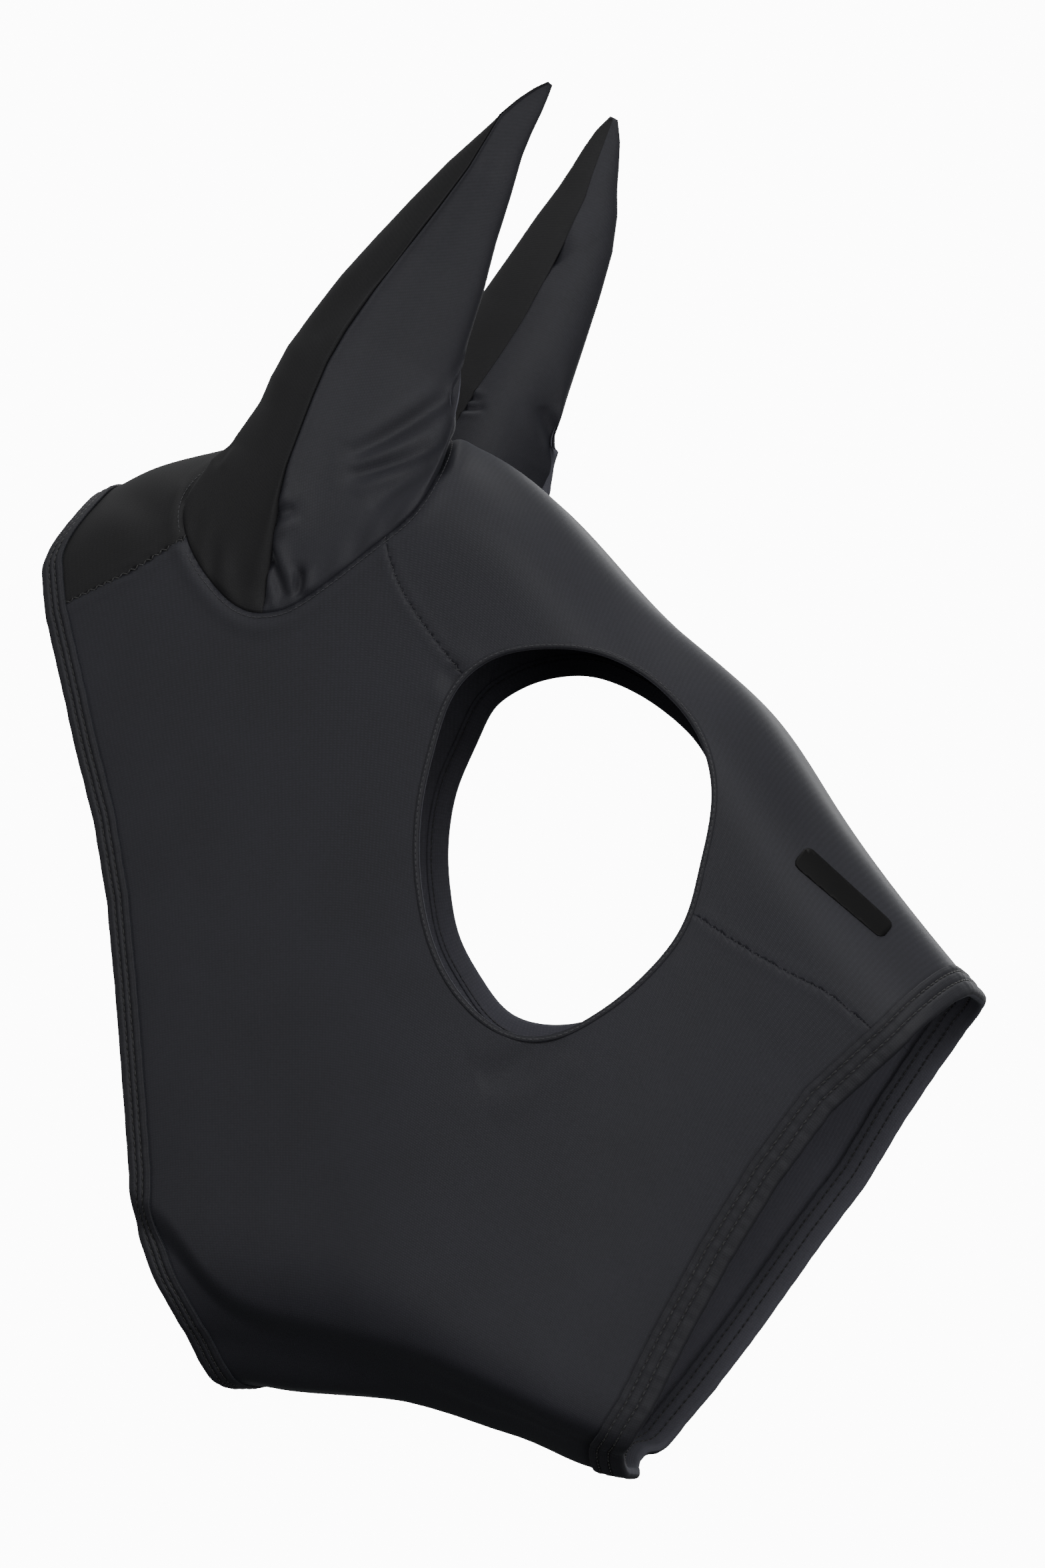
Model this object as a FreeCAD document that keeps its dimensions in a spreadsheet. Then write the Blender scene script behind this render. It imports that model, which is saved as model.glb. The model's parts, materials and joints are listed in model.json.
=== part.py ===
import math
import os

import FreeCAD, Part
import Sketcher

# Stretch fly mask for a horse: a pull-on hood of knitted fabric with eye holes and ear sleeves.
# +X points to the nose, +Y to the horse's left and +Z up. Millimetres.
# The origin is the inside of the crown at the poll, where the mask hangs on the head.

doc = FreeCAD.newDocument("fly_mask")
vector = FreeCAD.Vector

# ---------------------------------------------------------------- driving dimensions
STATIONS = ["nape", "poll", "forelock", "brow", "eye", "nose", "muzzle"]
# One row for each cross-section of the hood, from the neck opening to the muzzle opening:
# where its top point lies, how deep it is, how far it leans forward in degrees, its half width,
# and the corner radii over the crown or nose and under the jaw.
STATION_SIZES = {
    "nape": {"x": -62.6, "z": -15.8, "depth": 371.0, "lean": -11.2, "half": 56, "top": 46, "jaw": 24},
    "poll": {"x": 0.0, "z": 1.4, "depth": 385.4, "lean": -4.9, "half": 64, "top": 46, "jaw": 24},
    "forelock": {"x": 67.8, "z": 9.8, "depth": 394.0, "lean": 1.0, "half": 70, "top": 44, "jaw": 24},
    "brow": {"x": 146.0, "z": -16.9, "depth": 374.8, "lean": 8.4, "half": 73, "top": 42, "jaw": 24},
    "eye": {"x": 192.8, "z": -69.4, "depth": 334.4, "lean": 12.8, "half": 71, "top": 42, "jaw": 23},
    "nose": {"x": 255.2, "z": -143.4, "depth": 283.7, "lean": 22.1, "half": 63, "top": 40, "jaw": 22},
    "muzzle": {"x": 316.8, "z": -227.3, "depth": 236.9, "lean": 36.6, "half": 56, "top": 36, "jaw": 20},
}
SIZES = {
    # cloth
    "fabric_thickness": 1.2,
    "sewn_gap": 0.15,
    "thread_proud": 0.45,
    # eye holes: an upright oval, and how far the slack hood pulls the left one back and up
    "eye_hole_x": 164.0,
    "eye_hole_z": -168.0,
    "eye_hole_half_height": 78.0,
    "eye_hole_half_width": 57.5,
    "eye_hole_lean": 2.7,
    "eye_hem_width": 5.0,
    "left_eye_setback": 15.0,
    "left_eye_rise": 10.0,
    # hems
    "neck_hem_width": 10.0,
    "muzzle_hem_width": 13.0,
    "muzzle_scoop_radius": 590.0,
    "muzzle_scoop_depth": 11.5,
    "hem_fold": 1.5,
    "elastic_width": 5.0,
    "stitch_width": 1.2,
    "stitch_margin": 2.0,
    # seams, as points of the side view
    "crown_seam_back_z": -63.0,
    "crown_seam_back_x": -49.0,
    "crown_seam_front_x": 2.0,
    "crown_seam_front_z": -36.4,
    "brow_seam_x": 87.0,
    "brow_seam_z": -43.0,
    "eye_corner_back_x": 119.0,
    "eye_corner_back_z": -100.0,
    "eye_corner_front_x": 213.4,
    "eye_corner_front_z": -202.0,
    "nose_seam_x": 286.4,
    "nose_seam_z": -248.4,
    "jaw_seam_width": 6.0,
    "jaw_tape_level": 0.33,
    # ears
    "ear_pivot_x": 56.0,
    "ear_pivot_z": -19.0,
    "ear_ring_radius": 59.0,
    "ear_ring_gap": 0.4,
    "left_ear_advance": 18.0,
    "crown_strip_half": 20.0,
    "ear_length": 187.0,
    "ear_lean": 28.0,
    "right_tip_sweep": 9.0,
    "left_tip_sweep": -8.0,
    "ear_base_drop": 28.0,
    "ear_base_inset": 18.0,
    "ear_base_thick": 23.0,
    "ear_low_rise": 37.4,
    "ear_low_inset": 24.0,
    "ear_low_thick": 24.0,
    "ear_middle_half": 28.6,
    "ear_middle_thick": 20.0,
    "ear_upper_half": 18.9,
    "ear_upper_thick": 14.5,
    "ear_top_half": 8.6,
    "ear_top_thick": 7.5,
    "ear_tip_half": 3.4,
    "ear_tip_thick": 3.4,
    "ear_base_y": 45.5,
    "ear_tip_y": 62.0,
    "ear_seam_base_x": -21.0,
    "ear_seam_knee_x": -14.0,
    "ear_seam_knee_z": -5.0,
    "ear_seam_middle_x": 27.0,
    "ear_seam_middle_z": 67.0,
    "ear_seam_top": 170.0,
    # blank label on the right of the nose
    "label_x": 270.0,
    "label_z": -190.0,
    "label_length": 50.0,
    "label_height": 20.0,
    "label_lean": 46.0,
}

sheet = doc.addObject("Spreadsheet::Sheet", "Sizes")


def put_size(row, alias, value):
    cell = "B%d" % row
    sheet.set("A%d" % row, alias)
    sheet.set(cell, repr(value))
    sheet.setAlias(cell, alias)


row_number = 1
for station_name in STATIONS:
    for key, value in STATION_SIZES[station_name].items():
        put_size(row_number, "%s_%s" % (station_name, key), value)
        row_number += 1
for alias, value in SIZES.items():
    put_size(row_number, alias, value)
    row_number += 1
doc.recompute()

REACH = 400.0  # half length of a cutting tool, well past the whole mask


def bind(thing, **expressions):
    """Bind properties to sheet expressions; double underscores stand for dots."""
    for name, expression in expressions.items():
        thing.setExpression(name.replace("__", "."), expression)
    return thing


def evaluate(expression):
    """The present value of a sheet expression, where a sketch needs a starting point."""
    return float(sheet.evalExpression(expression))


def boolean(kind, name, base, tool):
    thing = doc.addObject("Part::" + kind, name)
    thing.Base = base
    thing.Tool = tool
    return thing


def cut(name, base, *tools):
    thing = base
    for number, tool in enumerate(tools[:-1]):
        thing = boolean("Cut", "%s_cut_%d" % (name, number), thing, tool)
    return boolean("Cut", name, thing, tools[-1])


def common(name, base, tool):
    return boolean("Common", name, base, tool)


# ---------------------------------------------------------------- hood forms
def section_sketch(station, layer, offset):
    """A rounded rectangle across the hood, offset outwards by an expression in millimetres."""
    size = STATION_SIZES[station]
    shift = evaluate(offset)
    half = size["half"] + shift
    top = size["top"] + shift
    jaw = size["jaw"] + shift
    high = shift
    low = -size["depth"] - shift
    sketch = doc.addObject("Sketcher::SketchObject", "%s_%s" % (station, layer))
    corners = [(half, high, top, 0), (-half, high, top, 90), (-half, low, jaw, 180), (half, low, jaw, 270)]
    ends = []
    for corner_x, corner_y, radius, angle in corners:
        centre = vector(corner_x - radius * (1 if corner_x > 0 else -1),
                        corner_y - radius * (1 if corner_y == high else -1), 0)
        circle = Part.Circle(centre, vector(0, 0, 1), radius)
        start = math.radians(angle)
        arc = Part.ArcOfCircle(circle, start, start + math.pi / 2)
        ends.append((arc, arc.StartPoint, arc.EndPoint))
    for number, (arc, start_point, end_point) in enumerate(ends):
        sketch.addGeometry(arc, False)
        sketch.addGeometry(Part.LineSegment(end_point, ends[(number + 1) % 4][1]), False)
    for number in range(4):
        arc_index = 2 * number
        line_index = arc_index + 1
        next_arc = (arc_index + 2) % 8
        sketch.addConstraint(Sketcher.Constraint("Tangent", arc_index, 2, line_index, 1))
        sketch.addConstraint(Sketcher.Constraint("Tangent", line_index, 2, next_arc, 1))
        sketch.addConstraint(Sketcher.Constraint("Vertical" if number % 2 else "Horizontal", line_index))
    sketch.addConstraint(Sketcher.Constraint("Equal", 0, 2))
    sketch.addConstraint(Sketcher.Constraint("Equal", 4, 6))
    driven = [
        (Sketcher.Constraint("Radius", 0, top), "Sizes.%s_top + %s" % (station, offset)),
        (Sketcher.Constraint("Radius", 4, jaw), "Sizes.%s_jaw + %s" % (station, offset)),
        (Sketcher.Constraint("DistanceX", -1, 1, 0, 1, half), "Sizes.%s_half + %s" % (station, offset)),
        (Sketcher.Constraint("DistanceX", 2, 2, -1, 1, half), "Sizes.%s_half + %s" % (station, offset)),
        (Sketcher.Constraint("DistanceY", -1, 1, 0, 2, high), "0 + %s" % offset),
        (Sketcher.Constraint("DistanceY", 4, 2, -1, 1, -low), "Sizes.%s_depth + %s" % (station, offset)),
    ]
    for constraint, expression in driven:
        index = sketch.addConstraint(constraint)
        sketch.setExpression("Constraints[%d]" % index, expression)
    sketch.setExpression("Placement", (
        "placement(vector(Sizes.{0}_x; 0; Sizes.{0}_z);"
        " rotation(vector(0; 1; 0); Sizes.{0}_lean) * rotation(vector(1; 1; 1); 120))").format(station))
    return sketch


def hood_form(layer, offset):
    loft = doc.addObject("Part::Loft", "form_" + layer)
    loft.Sections = [section_sketch(station, layer, offset) for station in STATIONS]
    loft.Solid = True
    loft.Ruled = False
    return loft


# The nested skins of the hood: the cloth, a layer sewn on each side of it, and raised threads.
LAYERS = {
    "hem_thread": "Sizes.fabric_thickness + Sizes.sewn_gap + Sizes.thread_proud",
    "hem_out": "Sizes.fabric_thickness + Sizes.sewn_gap",
    "seam_thread": "Sizes.sewn_gap + Sizes.thread_proud",
    "hem_bed": "Sizes.sewn_gap",
    "face": "0",
    "back": "-Sizes.fabric_thickness",
    "lining_bed": "-Sizes.fabric_thickness - Sizes.sewn_gap",
    "lining_in": "-2 * Sizes.fabric_thickness - Sizes.sewn_gap",
}
forms = {layer: hood_form(layer, "(%s)" % offset) for layer, offset in LAYERS.items()}


def skin(name, outer, inner):
    return cut(name, forms[outer], forms[inner])


# ---------------------------------------------------------------- cutting tools
def box(name, length, width, height, placement):
    return bind(doc.addObject("Part::Box", name), Length=length, Width=width, Height=height,
                Placement=placement)


def half_space(side):
    """Everything on one side of the middle plane: -1 is the right, +1 the left."""
    low = "-%g" % REACH if side < 0 else "0"
    name = "right_half" if side < 0 else "left_half"
    return box(name, "%g" % (2 * REACH), "%g" % REACH, "%g" % (3 * REACH),
               "placement(vector(-%g; %s; -%g); rotation(vector(0; 0; 1); 0))" % (REACH, low, 2 * REACH))


def neck_slab(name, width):
    """The stretch of hood within a width of the neck opening, in the plane of that opening."""
    placement = ("placement(vector(Sizes.nape_x; 0; Sizes.nape_z); rotation(vector(0; 1; 0);"
                 " Sizes.nape_lean) * rotation(vector(1; 1; 1); 120))"
                 " * placement(vector(-%g; -%g; -%g); rotation(vector(0; 0; 1); 0))"
                 % (REACH, 2 * REACH, REACH))
    return box(name, "%g" % (2 * REACH), "%g" % (3 * REACH), "%g + %s" % (REACH, width), placement)


def muzzle_drum(name, width):
    """The round scoop of the muzzle opening, widened by a width measured back from its edge."""
    placement = ("placement(vector(Sizes.muzzle_x; 0; Sizes.muzzle_z); rotation(vector(0; 1; 0);"
                 " Sizes.muzzle_lean)) * placement(vector(Sizes.muzzle_scoop_radius"
                 " - Sizes.muzzle_scoop_depth; %g; -Sizes.muzzle_depth / 2);"
                 " rotation(vector(1; 0; 0); 90))" % REACH)
    return bind(doc.addObject("Part::Cylinder", name), Radius="Sizes.muzzle_scoop_radius + %s" % width,
                Height="%g" % (2 * REACH), Placement=placement)


def side_prism(name, points):
    """A straight-sided outline of the side view, run through the whole width of the mask."""
    sketch = doc.addObject("Sketcher::SketchObject", name + "_outline")
    values = [(evaluate(x), evaluate(z)) for x, z in points]
    count = len(points)
    for number in range(count):
        start = vector(*values[number], 0)
        end = vector(*values[(number + 1) % count], 0)
        sketch.addGeometry(Part.LineSegment(start, end), False)
    for number in range(count):
        following = (number + 1) % count
        sketch.addConstraint(Sketcher.Constraint("Coincident", number, 2, following, 1))
    for number, (x, z) in enumerate(points):
        for kind, expression, value in (("DistanceX", x, values[number][0]),
                                        ("DistanceY", z, values[number][1])):
            index = sketch.addConstraint(Sketcher.Constraint(kind, -1, 1, number, 1, value))
            sketch.setExpression("Constraints[%d]" % index, expression)
    sketch.Placement = FreeCAD.Placement(vector(0, 0, 0), FreeCAD.Rotation(vector(1, 0, 0), 90))
    return through(name, sketch)


def through(name, outline):
    prism = doc.addObject("Part::Extrusion", name)
    prism.Base = outline
    prism.DirMode = "Custom"
    prism.Dir = vector(0, 1, 0)
    prism.LengthFwd = 2 * REACH
    prism.Symmetric = True
    prism.Solid = True
    return prism


def oval_prism(name, x, z, half_height, half_width, lean):
    oval = doc.addObject("Part::Ellipse", name + "_outline")
    bind(oval, MajorRadius=half_height, MinorRadius=half_width, Placement=(
        "placement(vector(%s; 0; %s); rotation(vector(0; 1; 0); %s - 90) * rotation(vector(1; 0; 0); 90))"
        % (x, z, lean)))
    return through(name, oval)


right_half = half_space(-1)
left_half = half_space(1)
HALVES = {"right": right_half, "left": left_half}
HEM_INSIDE = "Sizes.hem_fold + Sizes.elastic_width + 2 * Sizes.sewn_gap"
neck_inside = neck_slab("neck_inside", HEM_INSIDE)
muzzle_inside = muzzle_drum("muzzle_inside", HEM_INSIDE)

EAR_PIVOTS = {"right": "Sizes.ear_pivot_x", "left": "(Sizes.ear_pivot_x + Sizes.left_ear_advance)"}
EYE_CENTRES = {
    "right": ("Sizes.eye_hole_x", "Sizes.eye_hole_z"),
    "left": ("(Sizes.eye_hole_x - Sizes.left_eye_setback)", "(Sizes.eye_hole_z + Sizes.left_eye_rise)"),
}


def ear_drum(side, clearance):
    """The round patch of one side of the hood that the ear sleeve is sewn into."""
    sign = -1 if side == "right" else 1
    turn = 90 * -sign
    return bind(doc.addObject("Part::Cylinder", side + "_ear_drum"),
                Radius="Sizes.ear_ring_radius + %s" % clearance, Height="%g" % REACH, Placement=(
                    "placement(vector(%s; %d * (Sizes.crown_strip_half - %s); Sizes.ear_pivot_z);"
                    " rotation(vector(1; 0; 0); %d))" % (EAR_PIVOTS[side], sign, clearance, turn)))


def eye_prism(side, name, wider):
    x, z = EYE_CENTRES[side]
    return oval_prism("%s_%s" % (side, name), x, z, "Sizes.eye_hole_half_height + " + wider,
                      "Sizes.eye_hole_half_width + " + wider, "Sizes.eye_hole_lean")


# ---------------------------------------------------------------- the four cloth panels
eye_holes = {}
ear_holes = {}
for side, half in HALVES.items():
    eye_holes[side] = common(side + "_eye_hole", eye_prism(side, "eye_oval", "0"), half)
    ear_holes[side] = ear_drum(side, "Sizes.ear_ring_gap")

crown_zone = side_prism("crown_zone", [
    ("-%g" % REACH, "Sizes.crown_seam_back_z - (%g + Sizes.crown_seam_back_x) / 2" % REACH),
    ("Sizes.crown_seam_back_x", "Sizes.crown_seam_back_z"),
    ("Sizes.crown_seam_front_x", "Sizes.crown_seam_front_z"),
    ("Sizes.ear_pivot_x", "Sizes.ear_pivot_z"),
    ("Sizes.ear_pivot_x", "%g" % REACH),
    ("-%g" % REACH, "%g" % REACH),
])
front_zone = side_prism("front_zone", [
    ("Sizes.ear_pivot_x", "%g" % REACH),
    ("Sizes.ear_pivot_x", "Sizes.ear_pivot_z"),
    ("Sizes.brow_seam_x", "Sizes.brow_seam_z"),
    ("Sizes.eye_corner_back_x", "Sizes.eye_corner_back_z"),
    ("Sizes.eye_corner_front_x", "Sizes.eye_corner_front_z"),
    ("Sizes.nose_seam_x", "Sizes.nose_seam_z"),
    ("2 * %g" % REACH, "Sizes.nose_seam_z - %g" % (REACH / 2)),
    ("2 * %g" % REACH, "%g" % REACH),
])

hood_cloth = cut("hood_cloth", skin("cloth_skin", "face", "back"), neck_inside, muzzle_inside,
                 eye_holes["right"], eye_holes["left"], ear_holes["right"], ear_holes["left"])
nodes = {}
nodes["crown_panel"] = common("crown_panel", hood_cloth, crown_zone)
nodes["front_panel"] = common("front_panel", hood_cloth, front_zone)
sides = cut("side_panels", hood_cloth, crown_zone, front_zone)
for side, half in HALVES.items():
    name = side + "_side_panel"
    nodes[name] = common(name, sides, half)

# ---------------------------------------------------------------- hems, their elastic and stitching
HEM_TOOLS = {"neck": neck_slab, "muzzle": muzzle_drum}
hem_skin = skin("hem_skin", "hem_out", "lining_in")
pocket_skin = skin("pocket_skin", "hem_bed", "lining_bed")
elastic_skin = skin("elastic_skin", "face", "back")
thread_skin = skin("thread_skin", "hem_thread", "hem_out")
scoop = muzzle_drum("muzzle_scoop", "0")
for opening, tool in HEM_TOOLS.items():
    hem_width = "Sizes.%s_hem_width" % opening

    def band(name, near, far, source):
        """The part of a skin between two distances from the edge of this opening."""
        strip = cut(name + "_strip", tool(name + "_far", far), tool(name + "_near", near))
        return common(name, source, strip)

    pocket = cut(opening + "_pocket", pocket_skin, tool(opening + "_fold", "Sizes.hem_fold"))
    binding = cut(opening + "_binding", common(opening + "_hem_strip", hem_skin,
                                               tool(opening + "_hem_zone", hem_width)), pocket)
    if opening == "muzzle":
        binding = cut("muzzle_binding_scooped", binding, scoop)
    nodes[opening + "_binding"] = binding
    nodes[opening + "_elastic"] = band(
        opening + "_elastic", "Sizes.hem_fold + Sizes.sewn_gap",
        "Sizes.hem_fold + Sizes.elastic_width", elastic_skin)
    outer_row = band(opening + "_outer_row", "Sizes.stitch_margin",
                     "Sizes.stitch_margin + Sizes.stitch_width", thread_skin)
    inner_row = band(opening + "_inner_row", hem_width + " - Sizes.stitch_margin - Sizes.stitch_width",
                     hem_width + " - Sizes.stitch_margin", thread_skin)
    nodes[opening + "_stitching"] = boolean("Fuse", opening + "_stitching", outer_row, inner_row)

# ---------------------------------------------------------------- eye hems: cloth turned inside
lining_skin = skin("lining_skin", "lining_bed", "lining_in")
for side, half in HALVES.items():
    ring = cut(side + "_eye_ring", eye_prism(side, "eye_hem_oval", "Sizes.eye_hem_width"),
               eye_prism(side, "eye_edge_oval", "0"))
    name = side + "_eye_hem"
    nodes[name] = common(name, common(side + "_eye_band", lining_skin, ring), half)

# ---------------------------------------------------------------- seams
seam_skin = skin("seam_skin", "seam_thread", "hem_bed")


def seam_strip(name, start, end):
    """A row of thread along a seam, from one point of the side view to another."""
    start_x, start_z = start
    end_x, end_z = end
    run = "sqrt((%s - %s)^2 + (%s - %s)^2)" % (end_x, start_x, end_z, start_z)
    slope = "-atan2(%s - %s; %s - %s)" % (end_z, start_z, end_x, start_x)
    placement = ("placement(vector(%s; 0; %s); rotation(vector(0; 1; 0); %s))"
                 " * placement(vector(0; -%g; -Sizes.stitch_width / 2); rotation(vector(0; 0; 1); 0))"
                 % (start_x, start_z, slope, REACH))
    return box(name + "_slab", run, "%g" % (2 * REACH), "Sizes.stitch_width", placement)


def sheet_point(name):
    return "Sizes.%s_x" % name, "Sizes.%s_z" % name


neck_edge = neck_slab("neck_edge", "Sizes.neck_hem_width + Sizes.sewn_gap")
muzzle_edge = muzzle_drum("muzzle_edge", "Sizes.muzzle_hem_width + Sizes.sewn_gap")
SEAMS = {
    "crown_seam": (sheet_point("crown_seam_back"), sheet_point("crown_seam_front")),
    "brow_seam": (sheet_point("brow_seam"), sheet_point("eye_corner_back")),
    "nose_seam": (sheet_point("eye_corner_front"), sheet_point("nose_seam")),
}
for name, (start, end) in SEAMS.items():
    row = common(name + "_row", seam_skin, seam_strip(name, start, end))
    nodes[name + "_stitching"] = cut(
        name + "_stitching", row, neck_edge, muzzle_edge, eye_holes["right"], eye_holes["left"],
        ear_holes["right"], ear_holes["left"])

# Only the jaw's side of the lining is taped: what lies below this share of the muzzle's depth.
jaw_zone = box("jaw_zone", "%g" % (2 * REACH), "Sizes.jaw_seam_width", "%g" % REACH,
               "placement(vector(-%g; -Sizes.jaw_seam_width / 2; Sizes.muzzle_z - %g"
               " - Sizes.jaw_tape_level * Sizes.muzzle_depth); rotation(vector(0; 0; 1); 0))"
               % (REACH, REACH))
nodes["jaw_seam_tape"] = cut("jaw_seam_tape", common("jaw_strip", lining_skin, jaw_zone),
                             neck_edge, muzzle_edge)

# ---------------------------------------------------------------- blank label
label = doc.addObject("Part::Box", "label_block")
bind(label, Length="Sizes.label_length", Width="%g" % REACH, Height="Sizes.label_height", Placement=(
    "placement(vector(Sizes.label_x; -%g; Sizes.label_z); rotation(vector(0; 1; 0); Sizes.label_lean))"
    " * placement(vector(-Sizes.label_length / 2; 0; -Sizes.label_height / 2);"
    " rotation(vector(0; 0; 1); 0))" % REACH))
nodes["nose_label"] = common("nose_label", seam_skin, label)

# ---------------------------------------------------------------- ears
# Each ear sleeve is a tapering oval tube that springs from its ring. Each section has a height along
# the ear, a half width fore and aft, and a share of the tip's sweep and of its outward spread.
EAR_SECTIONS = {
    "base": ("-Sizes.ear_base_drop", "Sizes.ear_ring_radius - Sizes.ear_base_inset", 0.0, 0.0),
    "low": ("Sizes.ear_low_rise", "Sizes.ear_ring_radius - Sizes.ear_low_inset", 0.0, 0.2),
    "middle": ("0.43 * Sizes.ear_length", "Sizes.ear_middle_half", -0.02, 0.43),
    "upper": ("0.645 * Sizes.ear_length", "Sizes.ear_upper_half", 0.05, 0.645),
    "top": ("0.85 * Sizes.ear_length", "Sizes.ear_top_half", 0.5, 0.85),
    "tip": ("Sizes.ear_length", "Sizes.ear_tip_half", 1.0, 1.0),
}


def ear_form(side, layer, offset, tip_gap):
    sign = -1 if side == "right" else 1
    sections = []
    for name, (height, half, sweep, spread) in EAR_SECTIONS.items():
        oval = doc.addObject("Part::Ellipse", "%s_ear_%s_%s" % (side, name, layer))
        if name == "tip":
            height += " - " + tip_gap
        placement = (
            "placement(vector(%s; %d * (Sizes.ear_base_y + %g * (Sizes.ear_tip_y - Sizes.ear_base_y));"
            " Sizes.ear_pivot_z); rotation(vector(0; 1; 0); Sizes.ear_lean))"
            " * placement(vector(%g * Sizes.%s_tip_sweep; 0; %s); rotation(vector(0; 0; 1); 0))"
            % (EAR_PIVOTS[side], sign, spread, sweep, side, height))
        bind(oval, MajorRadius="%s - %s" % (half, offset),
             MinorRadius="Sizes.ear_%s_thick - %s" % (name, offset), Placement=placement)
        sections.append(oval)
    loft = doc.addObject("Part::Loft", "%s_ear_form_%s" % (side, layer))
    loft.Sections = sections
    loft.Solid = True
    loft.Ruled = False
    return loft


for side in HALVES:
    patch = common(side + "_ear_patch", forms["face"], ear_drum(side, "0"))
    outside = boolean("Fuse", side + "_ear_outside", ear_form(side, "face", "0", "0"), patch)
    inside = boolean("Fuse", side + "_ear_inside",
                     ear_form(side, "back", "Sizes.fabric_thickness", "2 * Sizes.fabric_thickness"),
                     forms["back"])
    sleeve = cut(side + "_ear_sleeve", outside, inside)
    pivot = EAR_PIVOTS[side]
    seam_top = "Sizes.ear_seam_top"
    rear_zone = side_prism(side + "_ear_rear_zone", [
        ("%s + Sizes.ear_seam_base_x" % pivot, "Sizes.ear_pivot_z - 2 * Sizes.ear_ring_radius"),
        ("%s + Sizes.ear_seam_knee_x" % pivot, "Sizes.ear_pivot_z + Sizes.ear_seam_knee_z"),
        ("%s + Sizes.ear_seam_middle_x" % pivot, "Sizes.ear_pivot_z + Sizes.ear_seam_middle_z"),
        ("%s + %s * sin(Sizes.ear_lean)" % (pivot, seam_top),
         "Sizes.ear_pivot_z + %s * cos(Sizes.ear_lean)" % seam_top),
        ("%s - %g" % (pivot, REACH / 2), "Sizes.ear_pivot_z + %g" % REACH),
        ("%s - %g" % (pivot, REACH / 2), "Sizes.ear_pivot_z - 2 * Sizes.ear_ring_radius"),
    ])
    nodes[side + "_ear_back_panel"] = common(side + "_ear_back_panel", sleeve, rear_zone)
    nodes[side + "_ear_front_panel"] = cut(side + "_ear_front_panel", sleeve, rear_zone)

# ---------------------------------------------------------------- check and write
doc.recompute()
faults = [thing.Name for thing in doc.Objects if {"Invalid", "Error"} & set(thing.State)]
for name, thing in nodes.items():
    thing.Label = name
    if thing.Shape.isNull() or not thing.Shape.isValid() or not thing.Shape.Solids:
        faults.append(name)
if faults:
    raise SystemExit("not built: " + ", ".join(faults))
os.makedirs("parts", exist_ok=True)
for name, thing in nodes.items():
    thing.Shape.exportStep("parts/%s.step" % name)
    solids = thing.Shape.Solids
    print("%-24s %2d solids %9.1f mm3" % (name, len(solids), thing.Shape.Volume))
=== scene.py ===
import json
import math

import bmesh
import bpy
import numpy as np
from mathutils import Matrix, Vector
from mathutils.bvhtree import BVHTree


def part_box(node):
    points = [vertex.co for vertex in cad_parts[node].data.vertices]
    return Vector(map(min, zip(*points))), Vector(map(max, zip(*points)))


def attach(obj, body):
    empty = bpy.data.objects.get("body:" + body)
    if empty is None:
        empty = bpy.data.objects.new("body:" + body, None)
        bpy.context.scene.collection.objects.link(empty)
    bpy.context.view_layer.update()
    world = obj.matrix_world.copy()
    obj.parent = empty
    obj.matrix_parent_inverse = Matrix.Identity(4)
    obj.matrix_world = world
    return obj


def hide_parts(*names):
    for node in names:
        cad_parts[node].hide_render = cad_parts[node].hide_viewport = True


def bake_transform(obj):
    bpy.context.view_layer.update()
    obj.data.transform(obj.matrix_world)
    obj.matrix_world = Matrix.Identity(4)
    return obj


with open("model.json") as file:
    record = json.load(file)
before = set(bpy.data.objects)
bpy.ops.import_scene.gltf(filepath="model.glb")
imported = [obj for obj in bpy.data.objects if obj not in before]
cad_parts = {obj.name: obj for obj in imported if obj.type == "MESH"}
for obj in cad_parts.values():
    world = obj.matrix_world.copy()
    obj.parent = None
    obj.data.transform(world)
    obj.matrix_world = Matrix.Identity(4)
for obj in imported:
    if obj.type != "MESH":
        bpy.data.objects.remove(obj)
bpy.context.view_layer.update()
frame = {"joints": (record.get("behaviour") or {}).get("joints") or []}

MM = 0.001
RIGHT = -1
LEFT = 1
SIDES = {"right": RIGHT, "left": LEFT}


# ---------------------------------------------------------------- camera, light and floor
def look_from(azimuth, elevation, target, distance, lens):
    """A camera that looks at the target; azimuth 0 looks along +Y with +X to the right."""
    a, e = math.radians(azimuth), math.radians(elevation)
    back = np.array([math.sin(a) * math.cos(e), -math.cos(a) * math.cos(e), math.sin(e)])
    data = bpy.data.cameras.new("camera")
    data.lens = lens
    data.sensor_width = 36.0
    data.clip_end = 30.0
    camera = bpy.data.objects.new("camera", data)
    bpy.context.scene.collection.objects.link(camera)
    camera.location = target + distance * back
    camera.rotation_euler = (math.radians(90) - e, 0, a)
    bpy.context.scene.camera = camera


def soft_light(name, place, aim, size, watts):
    """A round area light of this diameter, in metres, turned to the point it aims at."""
    data = bpy.data.lights.new(name, "AREA")
    data.shape = "DISK"
    data.size = size
    data.energy = watts
    light = bpy.data.objects.new(name, data)
    bpy.context.scene.collection.objects.link(light)
    light.location = place
    x, y, z = np.array(aim) - np.array(place)
    light.rotation_euler = (math.atan2(math.hypot(x, y), -z), 0, math.atan2(y, x) - math.pi / 2)


TARGET = np.array([130.46, 0.0, -136.01]) * MM
look_from(azimuth=12.0, elevation=-8.0, target=TARGET, distance=2.6, lens=147.2)
for name, place, size, watts in (
        ("key", (1.1, -2.9, 1.1), 2.0, 50), ("fill", (-1.7, -1.9, 0.4), 2.0, 7),
        ("top", (0.2, 0.2, 2.4), 1.6, 26), ("low", (2.3, -1.9, -0.9), 1.6, 26),
        ("far_side", (0.3, 2.9, 0.7), 2.0, 24)):
    soft_light(name, place, TARGET, size, watts)


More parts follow.
